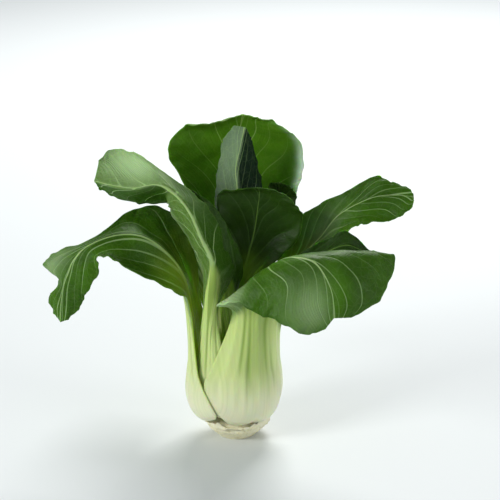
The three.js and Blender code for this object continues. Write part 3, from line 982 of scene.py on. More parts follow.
@dataclass
class LeafMesh:
    """Builds the dressed mesh of one leaf.

    Args:
        sheet: The leaf's middle surface.
        rows_per_interval: Rows of faces from one row of the leaf to the next.
        columns: Columns of faces across it.
        narrow_columns: The same for a narrow leaf in the middle of the head.
    """

    sheet: LeafSheet
    rows_per_interval: int = 12
    columns: int = 56
    narrow_columns: int = 32

    def build(self) -> bpy.types.Object:
        """Makes the closed leaf with its maps.

        Returns:
            The leaf's object, at the origin, in metres.
        """
        sheet = self.sheet
        narrow = sheet.layer >= FIRST_NARROW_LEAF
        mesh = self._closed_sheet(
            self.narrow_columns if narrow else self.columns, sheet.last * self.rows_per_interval
        )
        flat = np.empty(len(mesh.vertices) * 3)
        mesh.vertices.foreach_get("co", flat)
        across, share, face = flat.reshape(-1, 3).T
        at = (share * 0.5 + 0.5) * sheet.last
        mesh.vertices.foreach_set("co", (self._shape(at, across, face) * MM).ravel())
        self._write_uv_maps(mesh, at, across)
        self._write_face_maps(mesh, at, across, face)
        mesh.update()
        mesh.shade_smooth()
        piece = bpy.data.objects.new(sheet.spec.name, mesh)
        bpy.context.scene.collection.objects.link(piece)
        return piece

    def _closed_sheet(self, columns: int, rows: int) -> bpy.types.Mesh:
        """Two grids, for the inner and the outer face, joined round their rims.

        Args:
            columns: Faces across.
            rows: Faces along.

        Returns:
            The mesh, from -1 to 1 across and along, with its inner face at 0 and its outer at -1.
        """
        shell = bmesh.new()
        bmesh.ops.create_grid(shell, x_segments=columns, y_segments=rows, size=1.0)
        inner_rim = [e for e in shell.edges if e.is_boundary]
        copy = bmesh.ops.duplicate(shell, geom=shell.verts[:] + shell.edges[:] + shell.faces[:])
        twins = [item for item in copy["geom"] if isinstance(item, bmesh.types.BMVert)]
        backs = [item for item in copy["geom"] if isinstance(item, bmesh.types.BMFace)]
        twin_edges = (item for item in copy["geom"] if isinstance(item, bmesh.types.BMEdge))
        outer_rim = [edge for edge in twin_edges if edge.is_boundary]
        bmesh.ops.translate(shell, verts=twins, vec=Vector((0, 0, -1)))
        bmesh.ops.reverse_faces(shell, faces=backs)
        bmesh.ops.bridge_loops(shell, edges=inner_rim + outer_rim)
        mesh = bpy.data.meshes.new(self.sheet.spec.name)
        shell.to_mesh(mesh)
        shell.free()
        return mesh

    def _vein_distance(
        self, at: np.ndarray, across: np.ndarray
    ) -> tuple[np.ndarray, np.ndarray, np.ndarray]:
        """How a point lies to the nearest lateral vein, and how strong that vein is.

        Args:
            at: Fractional rows.
            across: Places across.

        Returns:
            The distance in millimetres, the share from 0 on a vein to 0.5 half way to the next, and the
            vein's strength.
        """
        sheet, pattern, length = self.sheet, self.sheet.spec.veins, self.sheet.rib_length()
        t = sheet.blade_share(at)
        a = np.maximum(np.abs(across), LEAST_ACROSS)
        wander = pattern.wander * np.sin(WANDER_ALONG * t + WANDER_ACROSS * across + sheet.seed)
        phase = (t - pattern.sweep * a**pattern.bend + wander) * pattern.count
        phase = phase + np.where(across < 0, 0.5, 0.0)
        off = np.abs(phase - np.round(phase))
        strength = np.sin(STRENGTH_STEP * np.round(phase) + sheet.seed)
        strength = STRENGTH_MEAN + STRENGTH_SWING * strength
        rise = length * pattern.sweep * pattern.bend * a ** (pattern.bend - 1)
        width = np.maximum(sheet.half_width(at, across), LEAST_HALF_WIDTH)
        return off / pattern.count * length * width / np.hypot(width, rise), off, strength

    def _shape(self, at: np.ndarray, across: np.ndarray, face: np.ndarray) -> np.ndarray:
        """Places of the vertices.

        Args:
            at: Fractional rows.
            across: Places across.
            face: 0 on the inner face and -1 on the outer one.

        Returns:
            The places, in millimetres.
        """
        sheet = self.sheet
        blade = smoothstep(FLESH.blade_start - 0.4, FLESH.blade_start + 1.2, at)
        across = across * (1 + self._scallops(at, across) * blade)
        point, normal = sheet.point(at, across), sheet.normal(at, across)
        offset = np.minimum(np.abs(across), 1) * sheet.half_width(at, across)
        thick = sheet.thickness(at, np.abs(across), offset)
        inward = 1 - smoothstep(*FLESH.turnover, at)
        outer = face < -0.5
        streaks = self._streaks(at, across)
        fibres = np.where(outer, -streaks, RELIEF.inner_streaks * streaks)
        lift = self._blade_relief(point, at, across, offset) * blade + fibres * (1 - blade)
        shift = np.where(outer, -thick * (1 - inward), thick * inward)
        return point + normal * (shift + lift)[:, None]

    def _scallops(self, at: np.ndarray, across: np.ndarray) -> np.ndarray:
        """How far a blade's uneven margin stands out.

        Args:
            at: Fractional rows.
            across: Places across.

        Returns:
            The reach, as a share of the half width.
        """
        side = np.where(across < 0, 0.0, 1.9)
        reach = RELIEF.scallop * np.sin(6.3 * at + self.sheet.seed + side)
        reach = reach + RELIEF.nick * np.sin(15 * at + 2 * side)
        return reach * np.abs(across) ** 5 / np.maximum(self.sheet.half_width(at, across), 4.0)

    def _blade_relief(
        self, point: np.ndarray, at: np.ndarray, across: np.ndarray, offset: np.ndarray
    ) -> np.ndarray:
        """How far a blade swells over its veins, cushions, crinkles and ruffled margins.

        Args:
            point: Points of the sheet, in millimetres.
            at: Their fractional rows.
            across: Their places across.
            offset: Their distances from the midrib, in millimetres.

        Returns:
            The swelling, in millimetres, towards the inner face.
        """
        a, pattern, seed = np.abs(across), self.sheet.spec.veins, self.sheet.seed
        distance, off, strength = self._vein_distance(at, across)
        x, y, z = point.T
        groove = pattern.groove * np.exp(-((distance / pattern.width) ** 2)) * strength
        puff = pattern.pucker * np.sin(math.pi * off) * smoothstep(1.5, 9, offset) * strength
        puff = puff * (1 - smoothstep(0.8, 1.0, a) * 0.7)
        swell = RELIEF.swell * ripple(0.21 * x + seed, 0.17 * z, 1.4)
        swell = swell * ripple(0.19 * z + 0.8 * seed, 0.23 * y, 1.2) * smoothstep(1.0, 8.0, offset)
        grain = RELIEF.grain * ripple(1.1 * x, 0.6 * z, 1.3) * ripple(z, 0.8 * y, 1.1)
        crinkle = RELIEF.crinkle * ripple(17 * at + 5 * across, 2.9 * at, 2.3)
        crinkle = crinkle * smoothstep(0.4, 0.95, a) * (0.55 + 0.45 * np.sin(2.3 * at + seed))
        ruffle = RELIEF.ruffle * ripple(7.3 * at + seed, 2.9 * at, 2.1) * smoothstep(0.75, 1.0, a)
        return puff - groove + swell + grain + crinkle + ruffle

    def _streaks(self, at: np.ndarray, across: np.ndarray) -> np.ndarray:
        """How far a stalk swells over the fibres that run up it, most towards its right edge.

        Args:
            at: Fractional rows.
            across: Places across.

        Returns:
            The swelling, in millimetres.
        """
        streaks = sum(
            height * np.sin(across * pitch + 0.5 * np.sin(at * 1.7 + pitch) + self.sheet.seed)
            for pitch, height in RELIEF.streaks
        )
        return streaks * (1 + 0.5 * across) * smoothstep(1.0, 2.6, at) * (1 - np.abs(across) ** 6)

    def _write_uv_maps(self, mesh: bpy.types.Mesh, at: np.ndarray, across: np.ndarray) -> None:
        """Writes the map of places on the leaf, and the one of its lengths.

        Args:
            mesh: The leaf's mesh.
            at: Fractional row of each vertex.
            across: Place across of each vertex.
        """
        sheet = self.sheet
        corners = np.empty(len(mesh.loops), dtype=np.int32)
        mesh.loops.foreach_get("vertex_index", corners)
        offset = across * sheet.half_width(at, across)
        run = np.interp(at, *sheet.midrib(0, 240))
        maps = {
            "Leaf": (across * 0.5 + 0.5, sheet.blade_share(at) * 0.5 + 0.5),
            "Metric": (offset / METRIC_ACROSS + 0.5, run / METRIC_ALONG),
        }
        for name, (u, v) in maps.items():
            layer = mesh.uv_layers.new(name=name)
            layer.uv.foreach_set("vector", np.stack([u, v], axis=1)[corners].astype("f4").ravel())

    def _write_face_maps(
        self, mesh: bpy.types.Mesh, at: np.ndarray, across: np.ndarray, face: np.ndarray
    ) -> None:
        """Writes which face a vertex is on, its turned side and painted shade, its painted sheen, and
        its furrows.

        Args:
            mesh: The leaf's mesh.
            at: Fractional row of each vertex.
            across: Place across of each vertex.
            face: 0 on the inner face and -1 on the outer one.
        """
        turned_side_and_shade, pale = np.zeros_like(at), np.zeros_like(at)
        # Turned halves of the blade, whose colour also carries painted shade
        for turn in self.sheet.spec.turns:
            shown = smoothstep(turn.first - 0.3, turn.first + 0.3, at)
            shown = shown - smoothstep(turn.last - 0.3, turn.last + 0.3, at)
            turned_side_and_shade = np.maximum(turned_side_and_shade, shown * smoothstep(0.0, 0.12, across * turn.side))
        # Pale patches of painted sheen and highlight
        for patch in self.sheet.spec.painted_sheens:
            reach = ((at - patch.row) / patch.row_reach) ** 2
            reach = reach + ((across - patch.across) / patch.across_reach) ** 2
            pale = np.maximum(pale, patch.strength * np.exp(-reach))
        furrow = smoothstep(0.0, 0.5, -self._streaks(at, across))
        for name, values in zip(FACE_MAPS, (face < -0.5, turned_side_and_shade, pale, furrow)):
            attribute = mesh.attributes.new(name, "FLOAT", "POINT")
            attribute.data.foreach_set("value", values.astype("f4"))


class Nodes:
    """Small helper that adds shader nodes to a tree and links them."""

    def __init__(self, tree: bpy.types.NodeTree) -> None:
        """Keeps the tree."""
        self.tree = tree

    def add(self, kind: str, **settings: object) -> bpy.types.Node:
        """Adds a node and sets its properties.

        Args:
            kind: Kind of shader node, such as Math.
            settings: Its properties and their values.

        Returns:
            The node.
        """
        node = self.tree.nodes.new("ShaderNode" + kind)
        for key, value in settings.items():
            setattr(node, key, value)
        return node

    def feed(self, socket: bpy.types.NodeSocket, value: object) -> None:
        """Links a socket to another, or sets it to a constant.

        Args:
            socket: The input socket.
            value: An output socket or a constant.
        """
        if isinstance(value, bpy.types.NodeSocket):
            self.tree.links.new(value, socket)
        else:
            socket.default_value = value

    def math(self, operation: str, *values: object, clamp: bool = False) -> bpy.types.NodeSocket:
        """A Math node.

        Args:
            operation: Name of the operation.
            values: The values it works on, in order.
            clamp: Whether its result is kept from 0 to 1.

        Returns:
            The result.
        """
        node = self.add("Math", operation=operation, use_clamp=clamp)
        for socket, value in zip(node.inputs, values):
            self.feed(socket, value)
        return node.outputs[0]

    def product(self, first: object, second: object) -> bpy.types.NodeSocket:
        """The product of two values."""
        return self.math("MULTIPLY", first, second)

    def scaled(self, value: object, factor: object, start: object) -> bpy.types.NodeSocket:
        """A value times a factor, on top of a start."""
        return self.math("MULTIPLY_ADD", value, factor, start)

    def ramp(
        self, value: object, low: float, high: float, out_low: float = 0.0, out_high: float = 1.0
    ) -> bpy.types.NodeSocket:
        """A smooth step of a value from one range to another.

        Args:
            value: The value.
            low: Where the step starts.
            high: Where it ends.
            out_low: Result up to its start.
            out_high: Result from its end on.

        Returns:
            The result.
        """
        node = self.add("MapRange", interpolation_type="SMOOTHSTEP")
        for socket, item in zip(node.inputs, (value, low, high, out_low, out_high)):
            self.feed(socket, item)
        return node.outputs["Result"]

    def mix(self, factor: object, first: object, second: object) -> bpy.types.NodeSocket:
        """A mix of two colours.

        Args:
            factor: Share of the second colour.
            first: The first colour.
            second: The second colour.

        Returns:
            The mixed colour.
        """
        node = self.add("Mix", data_type="RGBA")
        for title, value in (("Factor", factor), ("A", first), ("B", second)):
            self.feed(node.inputs[title], value)
        return next(socket for socket in node.outputs if socket.type == "RGBA")

    def noise(
        self, vector: object, scale: float, detail: float = 3.0, roughness: float = 0.55
    ) -> bpy.types.NodeSocket:
        """The value of a noise texture.

        Args:
            vector: Where it is read.
            scale: Its scale.
            detail: Its octaves.
            roughness: How strong the finer octaves are.

        Returns:
            The value.
        """
        node = self.add("TexNoise")
        wanted = {"Vector": vector, "Scale": scale, "Detail": detail, "Roughness": roughness}
        for title, value in wanted.items():
            self.feed(node.inputs[title], value)
        return node.outputs["Fac"]

    def stretch(self, vector: object, scale: tuple[float, float, float]) -> bpy.types.NodeSocket:
        """A vector scaled along its axes.

        Args:
            vector: The vector.
            scale: Factor of each axis.

        Returns:
            The scaled vector.
        """
        node = self.add("VectorMath", operation="MULTIPLY")
        self.feed(node.inputs[0], vector)
        self.feed(node.inputs[1], scale)
        return node.outputs[0]

    def split(self, vector: object) -> tuple[bpy.types.NodeSocket, bpy.types.NodeSocket]:
        """The first two parts of a vector.

        Args:
            vector: The vector.

        Returns:
            Its X and its Y.
        """
        node = self.add("SeparateXYZ")
        self.feed(node.inputs[0], vector)
        return node.outputs["X"], node.outputs["Y"]

    def glow(self, shader: bpy.types.Node, weight: float, radius: tuple, scale: float) -> None:
        """Lets light into the flesh.

        Args:
            shader: The material's shader.
            weight: Share of the light that goes in.
            radius: How far each colour of it spreads.
            scale: Scale of that spread, in metres.
        """
        shader.inputs["Subsurface Weight"].default_value = weight
        shader.inputs["Subsurface Radius"].default_value = radius
        shader.inputs["Subsurface Scale"].default_value = scale

    def bump(self, shader: bpy.types.Node, height: object, strength: float, distance: float) -> None:
        """Gives a shader a bump.

        Args:
            shader: The material's shader.
            height: The height.
            strength: Strength of the bump.
            distance: Height that a value of 1 stands for, in metres.
        """
        node = self.add("Bump")
        node.inputs["Strength"].default_value = strength
        node.inputs["Distance"].default_value = distance
        self.feed(node.inputs["Height"], height)
        self.feed(shader.inputs["Normal"], node.outputs["Normal"])


def new_material(name: str) -> tuple[bpy.types.Material, Nodes, bpy.types.Node]:
    """Starts a material.

    Args:
        name: Name of the material.

    Returns:
        The material, a helper for its nodes, and its shader.
    """
    material = bpy.data.materials.new(name)
    material.use_nodes = True
    return material, Nodes(material.node_tree), material.node_tree.nodes["Principled BSDF"]


@dataclass
class VeinGroup:
    """The shared node group that draws a blade's veins on its leaf maps.

    Args:
        lateral_width: Half width of a lateral vein at the midrib and at the margin, in millimetres.
        neck_swell: How much broader it is near the neck, and its breadth past that.
        margin_fade: Strength of a lateral vein at the margin.
        rib_taper: Power, gain and least half width of the midrib, in millimetres, towards the tip.
        nets: Scale and width of line of each net of fine veins.
        pleats: Ridges from one lateral vein to the next.
    """

    lateral_width: tuple = (0.50, 0.20)
    neck_swell: tuple = (1.8, 0.9)
    margin_fade: float = 0.15
    rib_taper: tuple = (1.8, 1.6, 0.2)
    nets: tuple = ((210.0, 0.075), (430.0, 0.06))
    pleats: int = 6

    def build(self) -> bpy.types.NodeTree:
        """Makes the group with its named inputs and outputs.

        Returns:
            The group.
        """
        group = bpy.data.node_groups.new("Leaf veins", "ShaderNodeTree")
        numbers = ("Count", "Sweep", "Bend", "Wander", "Seed", "Length", "Rib width")
        kinds = {title: "NodeSocketFloat" for title in numbers}
        kinds |= {title: "NodeSocketVector" for title in ("Leaf", "Metric", "Object")}
        for title, kind in kinds.items():
            group.interface.new_socket(name=title, in_out="INPUT", socket_type=kind)
        self.nodes = Nodes(group)
        self.given = group.nodes.new("NodeGroupInput").outputs
        made = self._veins()
        for title in made:
            group.interface.new_socket(name=title, in_out="OUTPUT", socket_type="NodeSocketFloat")
        sink = group.nodes.new("NodeGroupOutput")
        for title, value in made.items():
            self.nodes.feed(sink.inputs[title], value)
        return group

    def _veins(self) -> dict[str, bpy.types.NodeSocket]:
        """Draws the midrib, the lateral veins, the net between them and the pleats.

        Returns:
            The values that the group puts out, by name.
        """
        nodes, given = self.nodes, self.given
        place_across, place_along = nodes.split(given["Leaf"])
        offset, _ = nodes.split(given["Metric"])
        offset = nodes.math("ABSOLUTE", nodes.scaled(offset, METRIC_ACROSS, -METRIC_ACROSS / 2))
        signed = nodes.scaled(place_across, 2.0, -1.0)
        across = nodes.math("MAXIMUM", nodes.math("ABSOLUTE", signed), LEAST_ACROSS)
        along = nodes.scaled(place_along, 2.0, -1.0)
        rest = nodes.math("SUBTRACT", 1.0, along, clamp=True)
        phase = self._phase(signed, across, along)
        lateral = self._lateral(phase, across, offset, rest)
        power, gain, least = self.rib_taper
        rib_width = nodes.scaled(nodes.math("POWER", rest, power), gain, least)
        rib_width = nodes.product(rib_width, given["Rib width"])
        midrib = nodes.ramp(nodes.math("DIVIDE", offset, rib_width), 0.5, 1.1, 1.0, 0.0)
        net = self._net()
        height = nodes.math("MAXIMUM", nodes.scaled(net, 0.35, lateral), nodes.product(midrib, 1.4))
        pleat = nodes.math("SINE", nodes.product(phase, self.pleats * math.tau))
        pleat = nodes.product(pleat, nodes.ramp(across, 0.1, 0.4))
        return {"Midrib": midrib, "Lateral": lateral, "Net": net, "Pleat": pleat, "Height": height}

    def _phase(self, signed: object, across: object, along: object) -> bpy.types.NodeSocket:
        """The number of the nearest lateral vein, with the place between two as its fraction.

        Args:
            signed: Place across, from -1 to 1.
            across: The same, from 0 at the midrib to 1 at a margin.
            along: Place along the blade, from 0 at the neck to 1 at the tip.

        Returns:
            The number.
        """
        nodes, given = self.nodes, self.given
        swing = nodes.scaled(signed, WANDER_ACROSS, nodes.scaled(along, WANDER_ALONG, given["Seed"]))
        swept = nodes.product(nodes.math("POWER", across, given["Bend"]), given["Sweep"])
        run = nodes.math("SUBTRACT", along, swept)
        run = nodes.scaled(nodes.math("SINE", swing), given["Wander"], run)
        side = nodes.product(nodes.math("LESS_THAN", signed, 0.0), 0.5)
        return nodes.scaled(run, given["Count"], side)

    def _lateral(
        self, phase: object, across: object, offset: object, rest: object
    ) -> bpy.types.NodeSocket:
        """The lateral veins.

        Args:
            phase: Number of the nearest vein and the place between two.
            across: Place across, from 0 to 1.
            offset: Distance from the midrib, in millimetres.
            rest: What is left of the blade up to its tip, from 1 at the neck to 0.

        Returns:
            How strong a vein shows, from 0 to 1.
        """
        nodes, given = self.nodes, self.given
        which = nodes.math("ROUND", phase)
        off = nodes.math("ABSOLUTE", nodes.math("SUBTRACT", phase, which))
        strength = nodes.math("SINE", nodes.scaled(which, STRENGTH_STEP, given["Seed"]))
        strength = nodes.scaled(strength, STRENGTH_SWING, STRENGTH_MEAN)
        spacing = nodes.math("DIVIDE", nodes.product(off, given["Length"]), given["Count"])
        half = nodes.math("MAXIMUM", nodes.math("DIVIDE", offset, across), LEAST_HALF_WIDTH)
        rise = nodes.math("POWER", across, nodes.math("SUBTRACT", given["Bend"], 1.0))
        rise = nodes.product(rise, nodes.product(given["Sweep"], given["Bend"]))
        rise = nodes.product(rise, given["Length"])
        slant = nodes.math("SQRT", nodes.scaled(rise, rise, nodes.product(half, half)))
        distance = nodes.math("DIVIDE", nodes.product(spacing, half), slant)
        width = nodes.ramp(across, 0.0, 1.0, *self.lateral_width)
        width = nodes.product(width, nodes.scaled(nodes.math("POWER", rest, 4.0), *self.neck_swell))
        lateral = nodes.ramp(nodes.math("DIVIDE", distance, width), 0.4, 1.1, 1.0, 0.0)
        lateral = nodes.product(lateral, nodes.ramp(across, 0.6, 1.0, 1.0, self.margin_fade))
        return nodes.product(lateral, strength)

    def _net(self) -> bpy.types.NodeSocket:
        """The nets of fine veins, each finer one fainter on top of the one before.

        Returns:
            How strong the net shows, from 0 to 1.
        """
        nodes, net = self.nodes, 0.0
        for count, (scale, edge) in enumerate(self.nets):
            cells = nodes.add("TexVoronoi", feature="DISTANCE_TO_EDGE")
            nodes.feed(cells.inputs["Vector"], self.given["Object"])
            nodes.feed(cells.inputs["Scale"], scale)
            lines = nodes.ramp(cells.outputs["Distance"], 0.0, edge, 1.0, 0.0)
            net = nodes.math("MULTIPLY_ADD", lines, 0.5**count, net, clamp=True)
        return net


@dataclass(frozen=True)
class LeafFinish:
    """Colours and gloss of a leaf, from the foot of its stalk to the tip of its blade.

    Args:
        name: Plain name of the finish.
        foot: White foot of the stalk.
        bulb: Outer face of the stalk in the bulb.
        neck: Outer face of the stalk over the bulb.
        inner_neck: Inner face of the stalk, its bright green raised partly as painted light for its
            shaded hollow.
        groove: Furrows up the stalk.
        upper: Darker green of the blade's inner face.
        upper_light: Lighter green of it.
        under: Darker green of the blade's outer face.
        under_light: Lighter green of it.
        turned_side_and_shade: The half of a blade that is turned round, painted near black as shade on
            the folded leaf.
        painted_sheen: Pale patches of painted sheen and highlight.
        vein: Lateral veins and the net between them.
        rib: Midrib.
        faint: Strength of the lateral veins.
        roughness: Mean roughness of the blade.
        gloss: Specular level.
        glow: How much light goes into the leaf.
    """

    name: str
    foot: tuple = (0.80, 0.81, 0.57, 1)
    bulb: tuple = (0.66, 0.77, 0.33, 1)
    neck: tuple = (0.54, 0.68, 0.22, 1)
    # Bright green of the stalk's inner face, raised partly as painted light where it lies in shade
    inner_neck: tuple = (0.60, 0.84, 0.07, 1)
    groove: tuple = (0.20, 0.34, 0.035, 1)
    upper: tuple = (0.030, 0.092, 0.001, 1)
    upper_light: tuple = (0.052, 0.150, 0.002, 1)
    under: tuple = (0.080, 0.168, 0.022, 1)
    under_light: tuple = (0.124, 0.228, 0.048, 1)
    turned_side_and_shade: tuple = (0.030, 0.098, 0.001, 1)
    painted_sheen: tuple = (0.40, 0.55, 0.28, 1)
    vein: tuple = (0.34, 0.50, 0.21, 1)
    rib: tuple = (0.38, 0.53, 0.22, 1)
    faint: float = 0.75
    roughness: float = 0.43
    gloss: float = 0.14
    glow: float = 0.6


FINISHES = {
    Tone.OUTER: LeafFinish("Outer leaf"),
    # The back leaf: greens painted lighter for the light that shines through it from behind, and a
    # near-white painted highlight
    Tone.BACKLIT: LeafFinish(
        "Back leaf",
        upper=(0.066, 0.180, 0.004, 1),
        upper_light=(0.100, 0.250, 0.008, 1),
        painted_sheen=(0.88, 0.95, 0.90, 1),
        vein=(0.34, 0.50, 0.14, 1),
        rib=(0.42, 0.58, 0.16, 1),
        under=(0.150, 0.270, 0.060, 1),
        under_light=(0.210, 0.340, 0.110, 1),
        faint=0.7,
    ),
    Tone.FOLDED: LeafFinish(
        "Folded leaf",
        under=(0.125, 0.195, 0.105, 1),
        under_light=(0.180, 0.265, 0.155, 1),
        # The turned half, painted near black as shade on the side turned away from the lamps
        turned_side_and_shade=(0.006, 0.020, 0.008, 1),
        faint=0.3,
        gloss=0.08,
    ),
    # Leaves inside the head: greens and stalks painted darker, partly as the shade that falls deep in
    # the head
    Tone.INNER: LeafFinish(
        "Inner leaf",
        bulb=(0.36, 0.50, 0.10, 1),
        neck=(0.22, 0.36, 0.05, 1),
        inner_neck=(0.22, 0.40, 0.03, 1),
        groove=(0.14, 0.25, 0.03, 1),
        upper=(0.014, 0.044, 0.002, 1),
        upper_light=(0.024, 0.068, 0.004, 1),
        under=(0.022, 0.068, 0.003, 1),
        under_light=(0.034, 0.100, 0.005, 1),
        vein=(0.10, 0.19, 0.05, 1),
        rib=(0.12, 0.22, 0.04, 1),
        faint=0.30,
    ),
}


@dataclass
class LeafMaterial:
    """The material of one leaf, which reads the leaf's own maps.

    Args:
        sheet: The leaf's middle surface, whose length the veins need.
        finish: Colours and gloss.
        group: The shared vein group.
        foot_fade: Millimetres up the stalk over which its white foot turns green.
        neck_fade: The same for the bulb's green and the neck's.
        furrow_fade: The same for its furrows.
        trough_fade: The same for the hollow up its middle.
        border_scale: Scale of the noise that frays the border of stalk and blade.
        cloud_scale: Scale of the lighter and darker clouds of the blade.
        patch_scale: Scale of the patches in which lateral veins are faint.
        speckle_scale: Scale of the speckles of gloss.
        quilt_scale: Scale of the blade's quilting.
        grain_scale: Scale of its finest grain.
        streak_scale: Scales of the stalk's streaks, across it and along it.
        glow_radius: How far each colour of light spreads in the leaf.
        glow_scale: Scale of that spread, in metres.
        relief_height: Height of the fine relief, in metres.
    """

    sheet: LeafSheet
    finish: LeafFinish
    group: bpy.types.NodeTree
    foot_fade: tuple = (13.0, 46.0)
    neck_fade: tuple = (40.0, 95.0)
    furrow_fade: tuple = (14.0, 50.0)
    trough_fade: tuple = (22.0, 50.0)
    border_scale: float = 90.0
    cloud_scale: float = 38.0
    patch_scale: float = 25.0
    speckle_scale: float = 700.0
    quilt_scale: float = 190.0
    grain_scale: float = 1300.0
    streak_scale: tuple = (150.0, 3.0, 1.0)
    glow_radius: tuple = (0.5, 1.0, 0.15)
    glow_scale: float = 0.0016
    relief_height: float = 0.00035

    def build(self) -> bpy.types.Material:
        """Builds the material.

        Returns:
            The material.
        """
        name = f"{self.finish.name} {self.sheet.spec.name}"
        material, self.nodes, self.shader = new_material(name)
        self._read_maps()
        nodes = self.nodes
        edge = nodes.scaled(nodes.noise(self.place, self.border_scale), 0.03, self.along)
        edge = nodes.scaled(self.centre, nodes.scaled(self.outer, 0.055, 0.03), edge)
        start = nodes.scaled(self.outer, 0.09, 0.44)
        end = nodes.scaled(self.outer, -0.075, 0.64)
        colour = nodes.mix(nodes.ramp(edge, start, end), self._stalk(), self._blade())
        nodes.feed(self.shader.inputs["Base Color"], colour)
        self._gloss()
        self._relief()
        return material

    def _read_maps(self) -> None:
        """Reads the leaf's maps and draws its veins on them."""
        nodes, spec = self.nodes, self.sheet.spec
        leaf, metric = (nodes.add("UVMap", uv_map=name).outputs[0] for name in ("Leaf", "Metric"))
        self.place = nodes.add("TexCoord").outputs["Object"]
        # The outer face, the turned side with its painted shade, the painted sheen, and the furrows
        self.outer, self.turned_side_and_shade, self.pale, self.furrow = (
            nodes.add("Attribute", attribute_name=name).outputs["Fac"] for name in FACE_MAPS
        )
        across, self.along = nodes.split(leaf)
        _, run = nodes.split(metric)
        self.centre = nodes.math("ABSOLUTE", nodes.scaled(across, 2.0, -1.0))
        self.run = nodes.product(run, METRIC_ALONG)
        self.streak = nodes.noise(nodes.stretch(metric, self.streak_scale), 1.0, 3.0, 0.6)
        self.on_blade = nodes.ramp(self.along, 0.5, 0.56)
        self.off_blade = nodes.math("SUBTRACT", 1.0, self.on_blade)
        veins = nodes.add("Group", node_tree=self.group)
        given = {
            "Leaf": leaf,
            "Metric": metric,
            "Object": self.place,
            "Count": spec.veins.count,
            "Sweep": spec.veins.sweep,
            "Bend": spec.veins.bend,
            "Wander": spec.veins.wander,
            "Seed": self.sheet.seed,
            "Length": self.sheet.rib_length(),
            "Rib width": nodes.product(nodes.scaled(self.outer, 0.5, 0.5), spec.rib),
        }
        for title, value in given.items():
            nodes.feed(veins.inputs[title], value)
        self.veins = veins.outputs

    def _blade(self) -> bpy.types.NodeSocket:
        """The blade's clouded greens, its turned side with its painted shade, its painted sheen, and
        its veins.

        Returns:
            The colour.
        """
        nodes, finish = self.nodes, self.finish
        cloud = nodes.ramp(nodes.noise(self.place, self.cloud_scale, 4.0), 0.35, 0.7)
        blade = nodes.mix(
            self.outer,
            nodes.mix(cloud, finish.upper, finish.upper_light),
            nodes.mix(cloud, finish.under, finish.under_light),
        )
        # The turned side's green, painted near black as shade on the folded leaf, then the pale patches
        # of painted sheen
        blade = nodes.mix(self.turned_side_and_shade, blade, finish.turned_side_and_shade)
        blade = nodes.mix(self.pale, blade, finish.painted_sheen)
        net = nodes.product(self.veins["Net"], nodes.scaled(self.outer, 0.14, 0.05))
        net = nodes.product(net, nodes.scaled(self.turned_side_and_shade, -0.7, 1.0))
        blade = nodes.mix(net, blade, finish.vein)
        patches = nodes.noise(self.place, self.patch_scale, 1.0)
        patchy = nodes.ramp(patches, 0.3, 0.6, 0.45, 1.0)
        faint = nodes.product(nodes.scaled(self.outer, 0.2, finish.faint), patchy)
        blade = nodes.mix(nodes.product(self.veins["Lateral"], faint), blade, finish.vein)
        return nodes.mix(nodes.product(self.veins["Midrib"], 0.85), blade, finish.rib)

    def _stalk(self) -> bpy.types.NodeSocket:
        """The stalk: a white foot, the bulb's pale green, the neck, and green up its furrows.

        Returns:
            The colour.
        """
        nodes, finish, run = self.nodes, self.finish, self.run
        bulb = nodes.mix(self.outer, finish.inner_neck, finish.bulb)
        neck = nodes.mix(self.outer, finish.inner_neck, finish.neck)
        stalk = nodes.mix(nodes.ramp(run, *self.foot_fade), finish.foot, bulb)
        stalk = nodes.mix(nodes.ramp(run, *self.neck_fade), stalk, neck)
        marked = nodes.scaled(self.outer, 0.85, 0.15)
        furrow = nodes.product(self.furrow, nodes.ramp(run, *self.furrow_fade, 0.0, 0.6))
        trough = nodes.ramp(self.centre, 0.15, 0.75, self.sheet.spec.trough, 0.0)
        trough = nodes.product(trough, nodes.ramp(run, *self.trough_fade))
        for groove in (furrow, trough):
            stalk = nodes.mix(nodes.product(groove, marked), stalk, finish.groove)
        return nodes.mix(nodes.ramp(self.streak, 0.4, 0.75, 0.0, 0.12), stalk, finish.groove)

    def _gloss(self) -> None:
        """A waxy blade, duller where it is turned round, a smoother stalk, and light inside both."""
        nodes, finish = self.nodes, self.finish
        speckle = nodes.noise(self.place, self.speckle_scale, 2.0)
        rough = nodes.ramp(speckle, 0.2, 0.8, finish.roughness - 0.07, finish.roughness + 0.08)
        rough = nodes.scaled(self.turned_side_and_shade, 0.3, rough)
        nodes.feed(self.shader.inputs["Roughness"], nodes.scaled(self.off_blade, -0.1, rough))
        self.shader.inputs["Specular IOR Level"].default_value = finish.gloss
        nodes.glow(self.shader, finish.glow, self.glow_radius, self.glow_scale)

    def _relief(self) -> None:
        """Veins that stand out on the outer face, a quilted and pleated blade, and a fibrous stalk."""
        nodes, place, blade = self.nodes, self.place, self.on_blade
        side = nodes.scaled(self.outer, 2.0, -1.0)
        relief = nodes.product(self.veins["Height"], nodes.product(side, blade))
        quilt = nodes.product(nodes.noise(place, self.quilt_scale, 3.0, 0.6), blade)
        relief = nodes.scaled(quilt, 2.6, relief)
        pleat = nodes.product(self.veins["Pleat"], nodes.scaled(self.pale, 0.7, 0.12))
        relief = nodes.scaled(pleat, blade, relief)
        relief = nodes.scaled(nodes.noise(place, self.grain_scale, 2.0), 0.25, relief)
        fibres = nodes.product(self.streak, self.off_blade)
        nodes.bump(self.shader, nodes.scaled(fibres, 0.9, relief), 0.5, self.relief_height)


